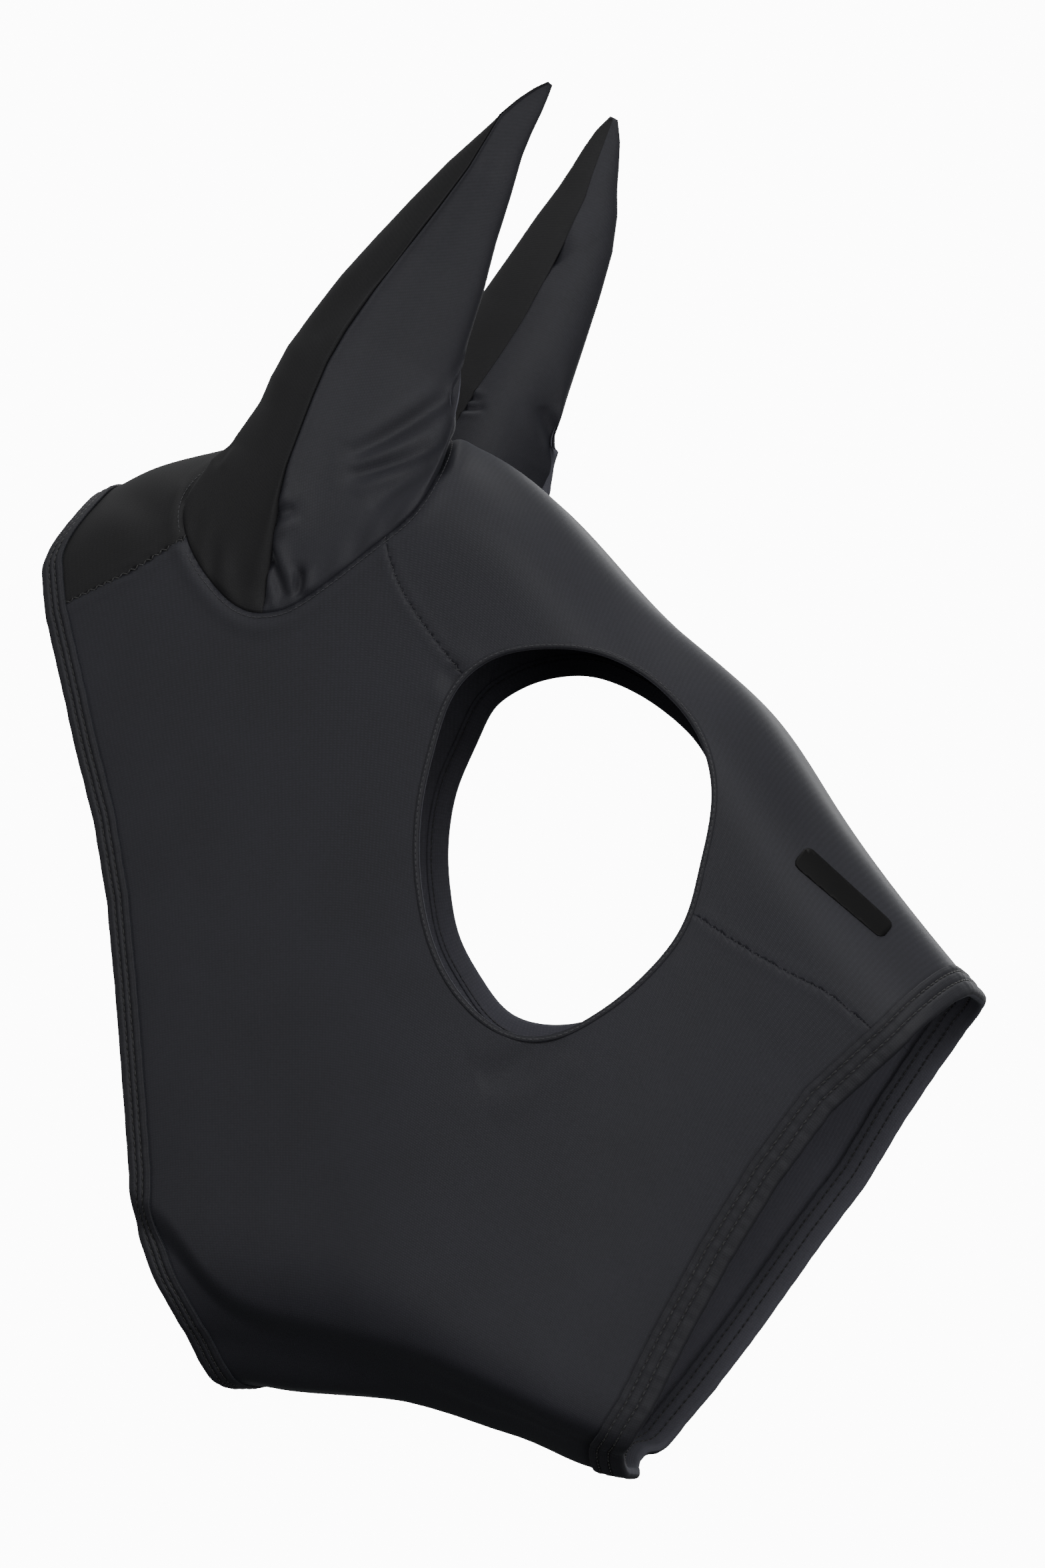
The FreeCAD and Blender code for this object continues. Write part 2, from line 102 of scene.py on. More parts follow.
# ---------------------------------------------------------------- studio and materials
def linear(hex_colour):
    """An sRGB hex colour as linear red, green, blue and alpha."""
    channels = [int(hex_colour[i:i + 2], 16) / 255 for i in (1, 3, 5)]
    return [c / 12.92 if c <= 0.04045 else ((c + 0.055) / 1.055) ** 2.4 for c in channels] + [1.0]


def add_node(tree, kind, links=None, **settings):
    """Adds a node; settings name its properties, links its inputs, as values or other sockets."""
    node = tree.nodes.new(kind)
    for name, value in settings.items():
        setattr(node, name, value)
    for name, value in (links or {}).items():
        if isinstance(value, bpy.types.NodeSocket):
            tree.links.new(value, node.inputs[name])
        else:
            node.inputs[name].default_value = value
    return node


def studio_world(room_light, low_light, backdrop):
    """A white studio: a bright backdrop, and a quiet light from all round that fades below eye level."""
    world = bpy.data.worlds.new("studio")
    world.use_nodes = True
    tree = world.node_tree
    place = add_node(tree, "ShaderNodeTexCoord").outputs["Generated"]
    height = add_node(tree, "ShaderNodeSeparateXYZ", {0: place}).outputs["Z"]
    fade = add_node(tree, "ShaderNodeMapRange", {"Value": height, "From Min": -0.45, "From Max": 0.25,
                                                 "To Min": low_light, "To Max": room_light},
                    interpolation_type="SMOOTHSTEP")
    room = tree.nodes["Background"]
    room.inputs["Color"].default_value = (1, 1, 1, 1)
    tree.links.new(fade.outputs["Result"], room.inputs["Strength"])
    seen = add_node(tree, "ShaderNodeBackground", {"Color": (1, 1, 1, 1), "Strength": backdrop})
    ray = add_node(tree, "ShaderNodeLightPath").outputs["Is Camera Ray"]
    mix = add_node(tree, "ShaderNodeMixShader", {"Fac": ray, 1: room.outputs[0], 2: seen.outputs[0]})
    tree.links.new(mix.outputs[0], tree.nodes["World Output"].inputs["Surface"])
    bpy.context.scene.world = world


studio_world(room_light=0.42, low_light=0.05, backdrop=12.0)


def new_material(name):
    material = bpy.data.materials.new(name)
    material.use_nodes = True
    tree = material.node_tree
    return material, tree, tree.nodes["Principled BSDF"]


def wave_scale(spacing):
    """The Wave Texture's scale that puts its bands this many millimetres apart."""
    return math.pi / (10 * spacing * MM)


def knit_cloth(name, dark, light, roughness, sheen, sheen_colour):
    """Warp-knitted elastane cloth: fine upright ribs of loops, a satin face and a faint nap.

    The real ribs are about 0.35 mm apart; they are drawn 1 mm apart, the finest that shows."""
    material, tree, shader = new_material(name)
    place = add_node(tree, "ShaderNodeTexCoord").outputs
    ribs = add_node(tree, "ShaderNodeTexWave", {"Vector": place["UV"], "Scale": wave_scale(1.0),
                                                "Distortion": 1.5, "Detail": 1.0, "Detail Scale": 2.0},
                    wave_type="BANDS", bands_direction="X")
    loops = add_node(tree, "ShaderNodeTexWave", {"Vector": place["UV"], "Scale": wave_scale(1.4),
                                                 "Distortion": 1.0, "Detail": 0.0},
                     wave_type="BANDS", bands_direction="Y")
    knit = add_node(tree, "ShaderNodeMath", {0: ribs.outputs["Fac"], 1: loops.outputs["Fac"]},
                    operation="MULTIPLY")
    cloud = add_node(tree, "ShaderNodeTexNoise", {"Vector": place["Object"], "Scale": 22.0, "Detail": 5.0,
                                                  "Roughness": 0.6})
    grain = add_node(tree, "ShaderNodeTexNoise", {"Vector": place["Object"], "Scale": 900.0, "Detail": 2.0})
    shade = add_node(tree, "ShaderNodeMath", {0: cloud.outputs["Fac"], 1: 0.55}, operation="MULTIPLY")
    speck = add_node(tree, "ShaderNodeMath", {0: grain.outputs["Fac"], 1: 0.30, 2: shade.outputs[0]},
                     operation="MULTIPLY_ADD")
    tone = add_node(tree, "ShaderNodeMath", {0: knit.outputs[0], 1: 0.25, 2: speck.outputs[0]},
                    operation="MULTIPLY_ADD")
    colour = add_node(tree, "ShaderNodeMix", {0: tone.outputs[0], 6: linear(dark), 7: linear(light)},
                      data_type="RGBA")
    tree.links.new(colour.outputs[2], shader.inputs["Base Color"])
    rough = add_node(tree, "ShaderNodeMapRange", {"Value": cloud.outputs["Fac"], "To Min": roughness - 0.05,
                                                  "To Max": roughness + 0.06})
    tree.links.new(rough.outputs["Result"], shader.inputs["Roughness"])
    bump = add_node(tree, "ShaderNodeBump", {"Height": knit.outputs[0], "Strength": 0.25,
                                             "Distance": 0.12 * MM})
    fuzz = add_node(tree, "ShaderNodeBump", {"Height": grain.outputs["Fac"], "Strength": 0.2,
                                             "Distance": 0.15 * MM, "Normal": bump.outputs["Normal"]})
    tree.links.new(fuzz.outputs["Normal"], shader.inputs["Normal"])
    shader.inputs["Sheen Weight"].default_value = sheen
    shader.inputs["Sheen Roughness"].default_value = 0.45
    shader.inputs["Sheen Tint"].default_value = linear(sheen_colour)
    shader.inputs["IOR"].default_value = 1.46
    shader.inputs["Specular IOR Level"].default_value = 0.35
    return material


def plain_finish(name, dark, light, roughness, scale_mm, bump_mm, sheen=0.0, specular=0.5):
    """A quieter finish with a fine broken surface, for thread, the blank label and the floor."""
    material, tree, shader = new_material(name)
    place = add_node(tree, "ShaderNodeTexCoord").outputs["Object"]
    grain = add_node(tree, "ShaderNodeTexNoise", {"Vector": place, "Scale": 1 / (scale_mm * MM),
                                                  "Detail": 3.0})
    colour = add_node(tree, "ShaderNodeMix", {0: grain.outputs["Fac"], 6: linear(dark), 7: linear(light)},
                      data_type="RGBA")
    tree.links.new(colour.outputs[2], shader.inputs["Base Color"])
    rough = add_node(tree, "ShaderNodeMapRange", {"Value": grain.outputs["Fac"], "To Min": roughness - 0.08,
                                                  "To Max": roughness + 0.08})
    tree.links.new(rough.outputs["Result"], shader.inputs["Roughness"])
    bump = add_node(tree, "ShaderNodeBump", {"Height": grain.outputs["Fac"], "Strength": 0.3,
                                             "Distance": bump_mm * MM})
    tree.links.new(bump.outputs["Normal"], shader.inputs["Normal"])
    shader.inputs["Sheen Weight"].default_value = sheen
    shader.inputs["Specular IOR Level"].default_value = specular
    return material


# Charcoal elastane knit of the face and cheeks: a satin cloth that takes a soft bluish light.
CHARCOAL_KNIT = knit_cloth("charcoal_elastane_knit", "#1a1a1e", "#2e2e35", 0.60, 0.10, "#8d95a0")
# Matt knit of the crown and the backs of the ears: the same yarn, a denser and darker face.
BLACK_KNIT = knit_cloth("black_elastane_knit", "#111112", "#1e1e20", 0.70, 0.08, "#7d8086")
# Binding cut from the same knit and folded over the edge.
BINDING_KNIT = knit_cloth("folded_knit_binding", "#17171a", "#2b2b31", 0.62, 0.10, "#8d95a0")
# The reverse of the knit: short open loops, matt and a little paler than the face; its colour is made paler
# still as painted light, standing in for the light that reaches the inside of the hood.
REVERSE_KNIT_PAINTED_LIGHT = knit_cloth("knit_reverse_loops_painted_light", "#3e3e44", "#5a5a63", 0.80, 0.15, "#8d95a0")
# Spun polyester sewing thread, black: round, slightly fuzzy, with a low gloss.
BLACK_THREAD = plain_finish("spun_polyester_thread", "#0c0c0d", "#1a1a1c", 0.55, 0.5, 0.08, 0.2)
# The same thread dyed to match the face cloth, on the seams that are meant to disappear.
CHARCOAL_THREAD = plain_finish("charcoal_polyester_thread", "#1e1e22", "#303036", 0.55, 0.5, 0.08, 0.2)
# Satin transfer, near black: a smooth film pressed on the cloth.
SATIN_TRANSFER = plain_finish("satin_transfer_film", "#020202", "#050506", 0.60, 3.0, 0.04, specular=0.2)
# Pale matt studio floor.
PALE_FLOOR = plain_finish("pale_matt_floor", "#e6e6e4", "#efefee", 0.85, 40.0, 0.1)

FLOOR_SIZE, FLOOR_HEIGHT = 12.0, -1.5
bpy.ops.mesh.primitive_plane_add(size=FLOOR_SIZE, location=(0, 0, FLOOR_HEIGHT))
floor = bpy.context.object
floor.name = "floor"
floor.data.materials.append(PALE_FLOOR)
floor.visible_diffuse = False
floor.visible_glossy = False


# ---------------------------------------------------------------- curves
# How far apart a spline's knots stand: the distance between its points, to this power.
KNOT_POWER = 0.7


def ease(low, high, value):
    """A smooth step from 0 at the low end to 1 at the high one."""
    t = np.clip((value - low) / (high - low), 0, 1)
    return t * t * (3 - 2 * t)


def spline(knots, values, where):
    """Natural cubic spline through the values at the knots."""
    knots, values = np.asarray(knots, float), np.asarray(values, float)
    gaps = np.diff(knots)
    count = len(knots)
    matrix = np.eye(count)
    right = np.zeros(count)
    for i in range(1, count - 1):
        matrix[i, i - 1:i + 2] = gaps[i - 1], 2 * (gaps[i - 1] + gaps[i]), gaps[i]
        right[i] = 6 * ((values[i + 1] - values[i]) / gaps[i] - (values[i] - values[i - 1]) / gaps[i - 1])
    bend = np.linalg.solve(matrix, right)
    i = np.clip(np.searchsorted(knots, where) - 1, 0, count - 2)
    low, high, gap = where - knots[i], knots[i + 1] - where, gaps[i]
    return ((bend[i] * high**3 + bend[i + 1] * low**3) / (6 * gap)
            + (values[i] / gap - bend[i] * gap / 6) * high
            + (values[i + 1] / gap - bend[i + 1] * gap / 6) * low)


def closed_curve(points, count):
    """A smooth closed line through the points, evenly divided."""
    points = np.asarray(points, float)
    size = len(points)
    wrapped = np.vstack([points[-3:], points, points[:4]])
    knots = np.concatenate([[0], np.cumsum(np.linalg.norm(np.diff(wrapped, axis=0), axis=1) ** KNOT_POWER)])
    fine = np.linspace(knots[3], knots[3 + size], 40 * size + 1)
    line = np.stack([spline(knots, wrapped[:, k], fine) for k in range(points.shape[1])], 1)
    return evenly(line, count + 1)[:-1]


def open_curve(points, count):
    """A smooth open line through the points, evenly divided."""
    points = np.asarray(points, float)
    knots = np.concatenate([[0], np.cumsum(np.linalg.norm(np.diff(points, axis=0), axis=1) ** KNOT_POWER)])
    fine = np.linspace(0, knots[-1], 40 * len(points))
    return evenly(np.stack([spline(knots, points[:, k], fine) for k in range(points.shape[1])], 1), count)


def distance_along(line):
    """How far along a line each of its points lies."""
    return np.concatenate([[0], np.cumsum(np.linalg.norm(np.diff(line, axis=0), axis=1))])


def place_along(line, run, where):
    """The line's places, or what else is known at its points, this far along it."""
    return np.stack([np.interp(where, run, line[:, k]) for k in range(line.shape[1])], -1)


def evenly(line, count):
    """The line, divided into this many points with equal steps."""
    run = distance_along(line)
    return place_along(line, run, np.linspace(0, run[-1], count))


def nearest(points, line):
    """Distance from points to a line, both in the side view, and the share along it of the nearest place."""
    start, step = line[:-1], np.diff(line, axis=0)
    best = np.full(len(points), 1e9)
    share = np.zeros(len(points))
    squared = (step**2).sum(1)
    for i in range(len(start)):
        offset = points - start[i]
        t = np.clip(offset @ step[i] / squared[i], 0, 1)
        gap = np.hypot(offset[:, 0] - t * step[i, 0], offset[:, 1] - t * step[i, 1])
        closer = gap < best
        best[closer] = gap[closer]
        share[closer] = (i + t[closer]) / len(start)
    return best, share


def inside(points, ring):
    """Which points of the side view lie within a closed line."""
    found = np.zeros(len(points), bool)
    x, z = points[:, 0], points[:, 1]
    for (x0, z0), (x1, z1) in zip(ring, np.roll(ring, -1, axis=0)):
        crosses = (z0 > z) != (z1 > z)
        if z1 != z0:
            found ^= crosses & (x < (x1 - x0) * (z - z0) / (z1 - z0) + x0)
    return found


def ring_field(points, ring):
    """Signed distance to a closed line of the side view, above zero outside it."""
    gap, _ = nearest(points, np.vstack([ring, ring[:1]]))
    return np.where(inside(points, ring), -gap, gap)


# ---------------------------------------------------------------- the hood's surface
# Cross-sections from the neck opening to the muzzle opening, in millimetres: share of the way,
# top point x and z, depth, forward lean in degrees, half width, corner radius at crown and at jaw.
STATIONS = [
    (0.00, -62.6, -16.2, 369.0, -11.2, 55, 46, 48),
    (0.08, -31.3, -4.0, 378.0, -8.0, 59, 46, 50),
    (0.16, 0.0, 2.2, 383.8, -4.9, 62, 46, 52),
    (0.33, 67.8, 9.8, 392.4, 1.0, 67, 44, 50),
    (0.53, 143.9, -19.6, 371.2, 8.4, 70, 42, 42),
    (0.66, 191.2, -71.2, 332.5, 12.8, 68, 42, 32),
    (0.75, 230.2, -107.2, 309.0, 18.3, 65, 41, 28),
    (0.83, 256.2, -145.6, 282.8, 22.6, 61, 40, 24),
    (1.00, 316.9, -226.7, 235.3, 36.6, 54, 36, 22),
]
# How far each side's edge stands ahead of the straight line from crown to jaw, as shares of the
# depth and millimetres: the slack hems hang in slow waves, a little differently on each side.
NECK_WAVE = {
    RIGHT: ([0, 0.1, 0.15, 0.22, 0.3, 0.38, 0.47, 0.58, 0.67,
             0.77, 0.79, 0.806, 0.828, 0.84, 0.855, 0.88, 0.915, 0.95, 0.98, 1],
            [0, -1.4, -2.6, -1.4, -0.4, 1.6, 1, -2.7, -6.3,
             -10.4, -11.9, -12.9, -14.2, -14.0, -13.2, -12.0, -8.8, -6.0, -3.5, -0.8]),
    LEFT: ([0, 0.3, 0.6, 0.8, 0.95, 1], [0, 4, -2, -5, 4, 6]),
}
MUZZLE_WAVE = {
    RIGHT: ([0, 0.15, 0.3, 0.45, 0.6, 0.75, 0.88, 1], [0, -5, -12.5, -13, -10.5, -6, -1, 0]),
    LEFT: ([0, 0.06, 0.14, 0.25, 0.38, 0.5, 0.7, 0.82, 0.9, 1],
           [-2, -5.5, -6.6, -5.8, -3.2, -3.9, -3.6, -4.4, -5.8, -6.4]),
}
# How far the crown's edge stands ahead of that line at the neck opening.
CROWN_EDGE = 19.0
ROWS, COLUMNS = 240, 420
SECTION_SOFTENING = 0.008


def rounded_outline(half, depth, crown, jaw, count):
    """Half of a section, from the crown (0, 0) down the side to the jaw (0, -depth), evenly spaced."""
    a = np.linspace(0, math.pi / 2, 60)
    top = np.stack([half - crown + crown * np.sin(a), -crown + crown * np.cos(a)], 1)
    low = np.stack([half - jaw + jaw * np.cos(a), -depth + jaw - jaw * np.sin(a)], 1)
    return evenly(np.vstack([[0, 0], top, low, [0, -depth]]), count)


def smooth_ring(line, width):
    """Rounds a closed line, spaced evenly, by a moving bell of this many points."""
    reach = int(3 * width)
    steps = np.arange(-reach, reach + 1)
    bell = np.exp(-0.5 * (steps / width) ** 2)
    bell /= bell.sum()
    return sum(weight * np.roll(line, step, axis=0) for step, weight in zip(steps, bell))


def hood_surface():
    """Points of the hood's cloth, rows from neck to muzzle, columns round from the crown by the right."""
    table = np.array(STATIONS)
    u = np.linspace(0, 1, ROWS)
    size = [spline(table[:, 0], table[:, k], u) for k in range(1, 8)]
    grid = np.zeros((ROWS, COLUMNS, 3))
    for row in range(ROWS):
        x, z, depth, lean, half, crown, jaw = (value[row] for value in size)
        right = rounded_outline(half, depth, crown, jaw, COLUMNS // 2 + 1)
        ring = smooth_ring(np.vstack([right * (-1, 1), right[-2:0:-1]]), COLUMNS * SECTION_SOFTENING)
        angle = math.radians(lean)
        up = np.array([math.sin(angle), 0, math.cos(angle)])
        ahead = np.array([math.cos(angle), 0, -math.sin(angle)])
        level = np.clip(-ring[:, 1] / depth, 0, 1)
        shift = CROWN_EDGE * (1 - ease(0, 0.3, u[row])) * (1 - ease(0.0, 0.1, level))
        off_centre = ease(0, 0.6 * half, np.abs(ring[:, 0]))
        for side in (RIGHT, LEFT):
            mask = ring[:, 0] * side >= 0
            for wave, reach in ((NECK_WAVE, 1 - ease(0, 0.35, u[row])), (MUZZLE_WAVE, ease(0.7, 1, u[row]))):
                knots, values = wave[side]
                shift += mask * off_centre * reach * np.interp(level, knots, values)
        grid[row] = (x, 0, z) + ring[:, :1] * (0, 1, 0) + ring[:, 1:2] * up + shift[:, None] * ahead
    return grid


def surface_normals(grid, closed=True):
    """Outward unit normals of a grid of points."""
    along = np.gradient(grid, axis=0)
    if closed:
        across = (np.roll(grid, -1, axis=1) - np.roll(grid, 1, axis=1)) / 2
    else:
        across = np.gradient(grid, axis=1)
    normal = np.cross(along, across)
    normal /= np.linalg.norm(normal, axis=2, keepdims=True)
    outward = grid - grid.mean(axis=1, keepdims=True)
    return normal * np.sign((normal * outward).sum(2).mean())


# The jowl line: above it the cloth lies on the cheek, below it the cloth tucks in under the jaw.
JOWL = [(-60, -290), (-4, -315), (21, -344), (62, -359), (108, -372), (147, -390), (178, -404), (220, -430)]
JOWL_TUCK = 6.5


def tucked(grid, normal):
    """The hood's surface, drawn in below the jowl line."""
    line = open_curve(JOWL, 60)
    below = np.interp(grid[..., 0], line[:, 0], line[:, 1]) - grid[..., 2]
    tuck = JOWL_TUCK * ease(-4, 13, below) * ease(18, 44, np.abs(grid[..., 1]))
    return grid - tuck[..., None] * normal


hood = hood_surface()
hood = tucked(hood, surface_normals(hood))
hood_normal = surface_normals(hood)
# How far each column lies from the crown's centre line, to the right above zero, to the left below.
girth = np.cumsum(np.linalg.norm(hood[ROWS // 2] - np.roll(hood[ROWS // 2], 1, axis=0), axis=1))
GIRTH = girth[-1]
column_run = girth - girth[0]
column_run[COLUMNS // 2 + 1:] -= GIRTH
row_run = distance_along(hood[:, COLUMNS // 4])


# ---------------------------------------------------------------- mesh making
class Cloth:
    """A piece of a surface: points with their normals and places on the flat cloth, and faces."""

    def __init__(self, points, normals, flat, faces):
        self.points, self.normals, self.flat, self.faces = points, normals, flat, faces

    def trimmed(self, field):
        """What is left where the field, a function of the points, is above zero."""
        value = field(self.points)
        value = np.where(np.abs(value) < 1e-6, 1e-6, value)
        points, normals, flat = list(self.points), list(self.normals), list(self.flat)
        made = {}
        faces = []
        kept = value > 0

        def crossing(a, b):
            key = (min(a, b), max(a, b))
            if key not in made:
                t = value[a] / (value[a] - value[b])
                made[key] = len(points)
                points.append(self.points[a] + t * (self.points[b] - self.points[a]))
                normals.append(self.normals[a] + t * (self.normals[b] - self.normals[a]))
                flat.append(self.flat[a] + t * (self.flat[b] - self.flat[a]))
            return made[key]

        for face in self.faces:
            inside_corners = [kept[i] for i in face]
            if all(inside_corners):
                faces.append(face)
            elif any(inside_corners):
                corners = []
                for a, b in zip(face, face[1:] + face[:1]):
                    if kept[a]:
                        corners.append(a)
                    if kept[a] != kept[b]:
                        corners.append(crossing(a, b))
                if len(corners) > 2:
                    faces.append(tuple(corners))
        used = sorted({i for face in faces for i in face})
        place = {old: new for new, old in enumerate(used)}
        return Cloth(np.array(points)[used], np.array(normals)[used], np.array(flat)[used],
                     [tuple(place[i] for i in face) for face in faces])

    def raised(self, height):
        """The same piece, moved along its normals by a function of its points, in millimetres."""
        length = np.linalg.norm(self.normals, axis=1, keepdims=True)
        moved = self.points + height(self.points)[:, None] * self.normals / length
        return Cloth(moved, self.normals, self.flat, self.faces)


def grid_faces(rows, columns, closed):
    """The faces of a grid of points, with its last column joined to its first if it is closed."""
    return [(i * columns + j, (i + 1) * columns + j, (i + 1) * columns + (j + 1) % columns,
             i * columns + (j + 1) % columns)
            for i in range(rows - 1) for j in range(columns if closed else columns - 1)]


def grid_cloth(grid, normal, flat, closed):
    """A grid of points as a piece of cloth."""
    return Cloth(grid.reshape(-1, 3), normal.reshape(-1, 3), flat.reshape(-1, 2),
                 grid_faces(*grid.shape[:2], closed))


def make_piece(name, points, faces, material, flat=None):
    """A mesh object, in metres, with smooth shading and its place on the flat cloth as its UV map."""
    mesh = bpy.data.meshes.new(name)
    mesh.from_pydata((np.asarray(points) * MM).tolist(), [], faces)
    if flat is not None:
        layer = mesh.uv_layers.new(name="cloth")
        corners = np.zeros(len(mesh.loops), np.int32)
        mesh.loops.foreach_get("vertex_index", corners)
        layer.data.foreach_set("uv", (np.asarray(flat)[corners] * MM).astype(np.float32).ravel())
    mesh.polygons.foreach_set("use_smooth", [True] * len(mesh.polygons))
    mesh.materials.append(material)
    piece = bpy.data.objects.new(name, mesh)
    bpy.context.scene.collection.objects.link(piece)
    return piece


def welded_outward(piece):
    """Joins the points that lie together and turns the faces of a closed piece outwards."""
    shape = bmesh.new()
    shape.from_mesh(piece.data)
    bmesh.ops.remove_doubles(shape, verts=shape.verts, dist=0.01 * MM)
    bmesh.ops.recalc_face_normals(shape, faces=shape.faces)
    shape.to_mesh(piece.data)
    shape.free()


def shell_outward(piece):
    """Faces outwards: a shell whose signed volume is below zero is turned over."""
    shape = bmesh.new()
    shape.from_mesh(piece.data)
    if shape.calc_volume(signed=True) < 0:
        bmesh.ops.reverse_faces(shape, faces=shape.faces)
        shape.to_mesh(piece.data)
    shape.free()


def cloth_piece(name, cloth, material, thickness):
    """Gives a trimmed piece of surface the thickness of its cloth, inwards from its face."""
    inner = len(cloth.points)
    length = np.linalg.norm(cloth.normals, axis=1, keepdims=True)
    back = cloth.points - thickness * cloth.normals / length
    edges = {}
    for face in cloth.faces:
        for a, b in zip(face, face[1:] + face[:1]):
            edges[(a, b)] = edges.get((a, b), 0) + 1
    faces = list(cloth.faces) + [tuple(i + inner for i in reversed(face)) for face in cloth.faces]
    for a, b in edges:
        if (b, a) not in edges:
            faces.append((b, a, a + inner, b + inner))
    piece = make_piece(name, np.vstack([cloth.points, back]), faces, material,
                       np.vstack([cloth.flat, cloth.flat]))
    # The back faces get the reverse knit, whose paleness is partly painted light inside the hood.
    piece.data.materials.append(REVERSE_KNIT_PAINTED_LIGHT)
    for face in piece.data.polygons[len(cloth.faces):2 * len(cloth.faces)]:
        face.material_index = 1
    shell_outward(piece)
    return piece


# ---------------------------------------------------------------- outlines in the side view
# Edges of the eye holes.
EYE = {
    RIGHT: [(154.9, -91.8), (174.4, -94), (191, -101.5), (203, -111.5), (212.7, -123.7), (218.5, -137.5),
            (220.3, -150), (219, -164), (215.1, -181), (210.5, -197.8), (204, -210), (195.5, -220),
            (184, -230.5), (171.6, -239), (160, -244.6), (147.4, -246.2), (136.3, -243), (126, -235.5),
            (116.2, -223.5), (108.6, -207), (104.4, -188.7), (103, -169), (105, -148), (109.6, -129),
            (115.5, -112), (124, -101), (137, -94)],
    LEFT: [(136.6, -80.9), (146, -81.7), (157.7, -85.7), (170, -92.5), (182, -101.8), (191, -111.5),
           (197.5, -124), (201, -138), (202.5, -153), (200.5, -170), (195.5, -186), (188, -200), (177, -211),
           (164, -219), (150, -224.6), (136, -227.4), (122.5, -226.8), (109.6, -221.4), (97.8, -206.6),
           (89, -190), (85.2, -172.3), (84, -154.9), (85.6, -137.5), (89.2, -124), (97, -106.5), (103.5, -94),
           (111, -87.9), (123, -82.8)],
}
# Where each side's ear sleeve is sewn on, from the bottom of its seam back, over the crown and round.
EAR_RING = [(37.5, -66, -73), (32.9, -64.5, -72.5), (25.3, -63.9, -68.9), (17.3, -63.1, -61.2),
            (9.5, -62.3, -50.4), (4.3, -60.6, -38), (3.4, -57.1, -26), (8.5, -51.8, -14), (19, -43.9, -3.5),
            (34, -31, 4.5), (52, -24.5, 7.5), (72, -23, 8), (92, -27, 6), (105.7, -36.9, 1.7),
            (109.8, -50, -7), (110, -59, -13.2), (106.2, -66.5, -25.4), (98.3, -68.6, -37),
            (84, -68.4, -47.9), (70, -67.2, -58), (55.8, -66.3, -67.4), (46, -66, -72)]
# The ring's point on the crown, where the inner seam of the sleeve begins.
RING_TOP = 11
# How much further forward than the right ear each ear stands, and how much shorter its ring is in front.
EAR_AHEAD = {RIGHT: 0.0, LEFT: 18.0}
RING_SHORTER = {RIGHT: 0.0, LEFT: 6.0}
# The three seams on each side: behind the ear, before it down to the eye, and from the eye to the muzzle.
CROWN_SEAM = {
    RIGHT: [(-46.2, -64.7), (-31.7, -58.7), (-17.4, -52.7), (-6, -46.5), (5.3, -40.3)],
    LEFT: [(-46.2, -64.7), (-28, -57.5), (-8, -49.5), (8, -42.5), (22.3, -36.3)],
}
BROW_SEAM = {
    RIGHT: [(88.8, -44.4), (93, -60), (103, -78), (120, -100.3)],
    LEFT: [(106.8, -44.4), (106, -58), (104, -74), (101, -91)],
}
NOSE_SEAM = {
    RIGHT: [(214.8, -200), (224.9, -207.3), (254.6, -224.9), (264.4, -230.3), (272.9, -237.2),
            (284.9, -247.4)],
    LEFT: [(197, -184), (212, -196), (240, -216), (262, -229), (284.9, -247.4)],
}
# Where the crown panel ends between the ears.
CROWN_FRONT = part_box("crown_panel")[1].x / MM + 6.0


# ---------------------------------------------------------------- places on the hood
FACES = grid_faces(ROWS, COLUMNS, True)
tree_points = hood.reshape(-1, 3)
tree_normals = hood_normal.reshape(-1, 3)
hood_tree = BVHTree.FromPolygons([Vector(p) for p in tree_points], FACES)


def blended_normal(place, face):
    """The hood's normal at a place on a face, blended from the normals at its corners."""
    corners = list(FACES[face])
    weight = 1 / (((tree_points[corners] - place) ** 2).sum(1) + 0.05)
    normal = (tree_normals[corners] * weight[:, None]).sum(0)
    return normal / np.linalg.norm(normal)


def places_and_normals(hits):
    """Places on the hood, and its normals there, for what the tree has found."""
    places = [np.array(hit[0]) for hit in hits]
    return np.array(places), np.array([blended_normal(place, hit[2]) for place, hit in zip(places, hits)])


def on_side(line, side, far=300.0, near=50.0):
    """Places and normals on one side of the hood for a line in the side view."""
    hits = []
    for x, z in line:
        hit = hood_tree.ray_cast(Vector((x, far * side, z)), Vector((0, -side, 0)))
        hits.append(hit if hit[0] is not None else hood_tree.find_nearest(Vector((x, near * side, z))))
    return places_and_normals(hits)


def on_hood(points):
    """The nearest places on the hood, with their normals."""
    return places_and_normals([hood_tree.find_nearest(Vector(point)) for point in points])


def beside(places, normals, distance):
    """The line moved sideways along the hood: above zero is to the left of its run, seen from outside."""
    run = np.gradient(places, axis=0)
    run /= np.linalg.norm(run, axis=1, keepdims=True)
    return on_hood(places + distance * np.cross(normals, run))


# ---------------------------------------------------------------- panels of the hood
def ear_ring(side):
    """The points of the ring round the foot of an ear."""
    ring = np.array(EAR_RING) * (1, -side, 1)
    return ring + np.outer(EAR_AHEAD[side] - RING_SHORTER[side] * ease(80, 112, ring[:, 0]), (1, 0, 0))


EYE_POINTS, RING_POINTS = 240, 200
eye_line = {side: closed_curve(EYE[side], EYE_POINTS) for side in (RIGHT, LEFT)}
ring_line, ring_normal = {}, {}
for side in (RIGHT, LEFT):
    ring_line[side], ring_normal[side] = on_hood(closed_curve(ear_ring(side), RING_POINTS))

# Up the slope between crown and cheek, square to the nose's direction.
SHOULDER = {side: np.array([0, 0.64 * -side, 0.77]) for side in (RIGHT, LEFT)}


def ring_plane(points, side):
    """The shoulder of the hood laid flat, so that an ear's ring can be drawn on it."""
    return np.stack([points[:, 0], points @ SHOULDER[side]], 1)


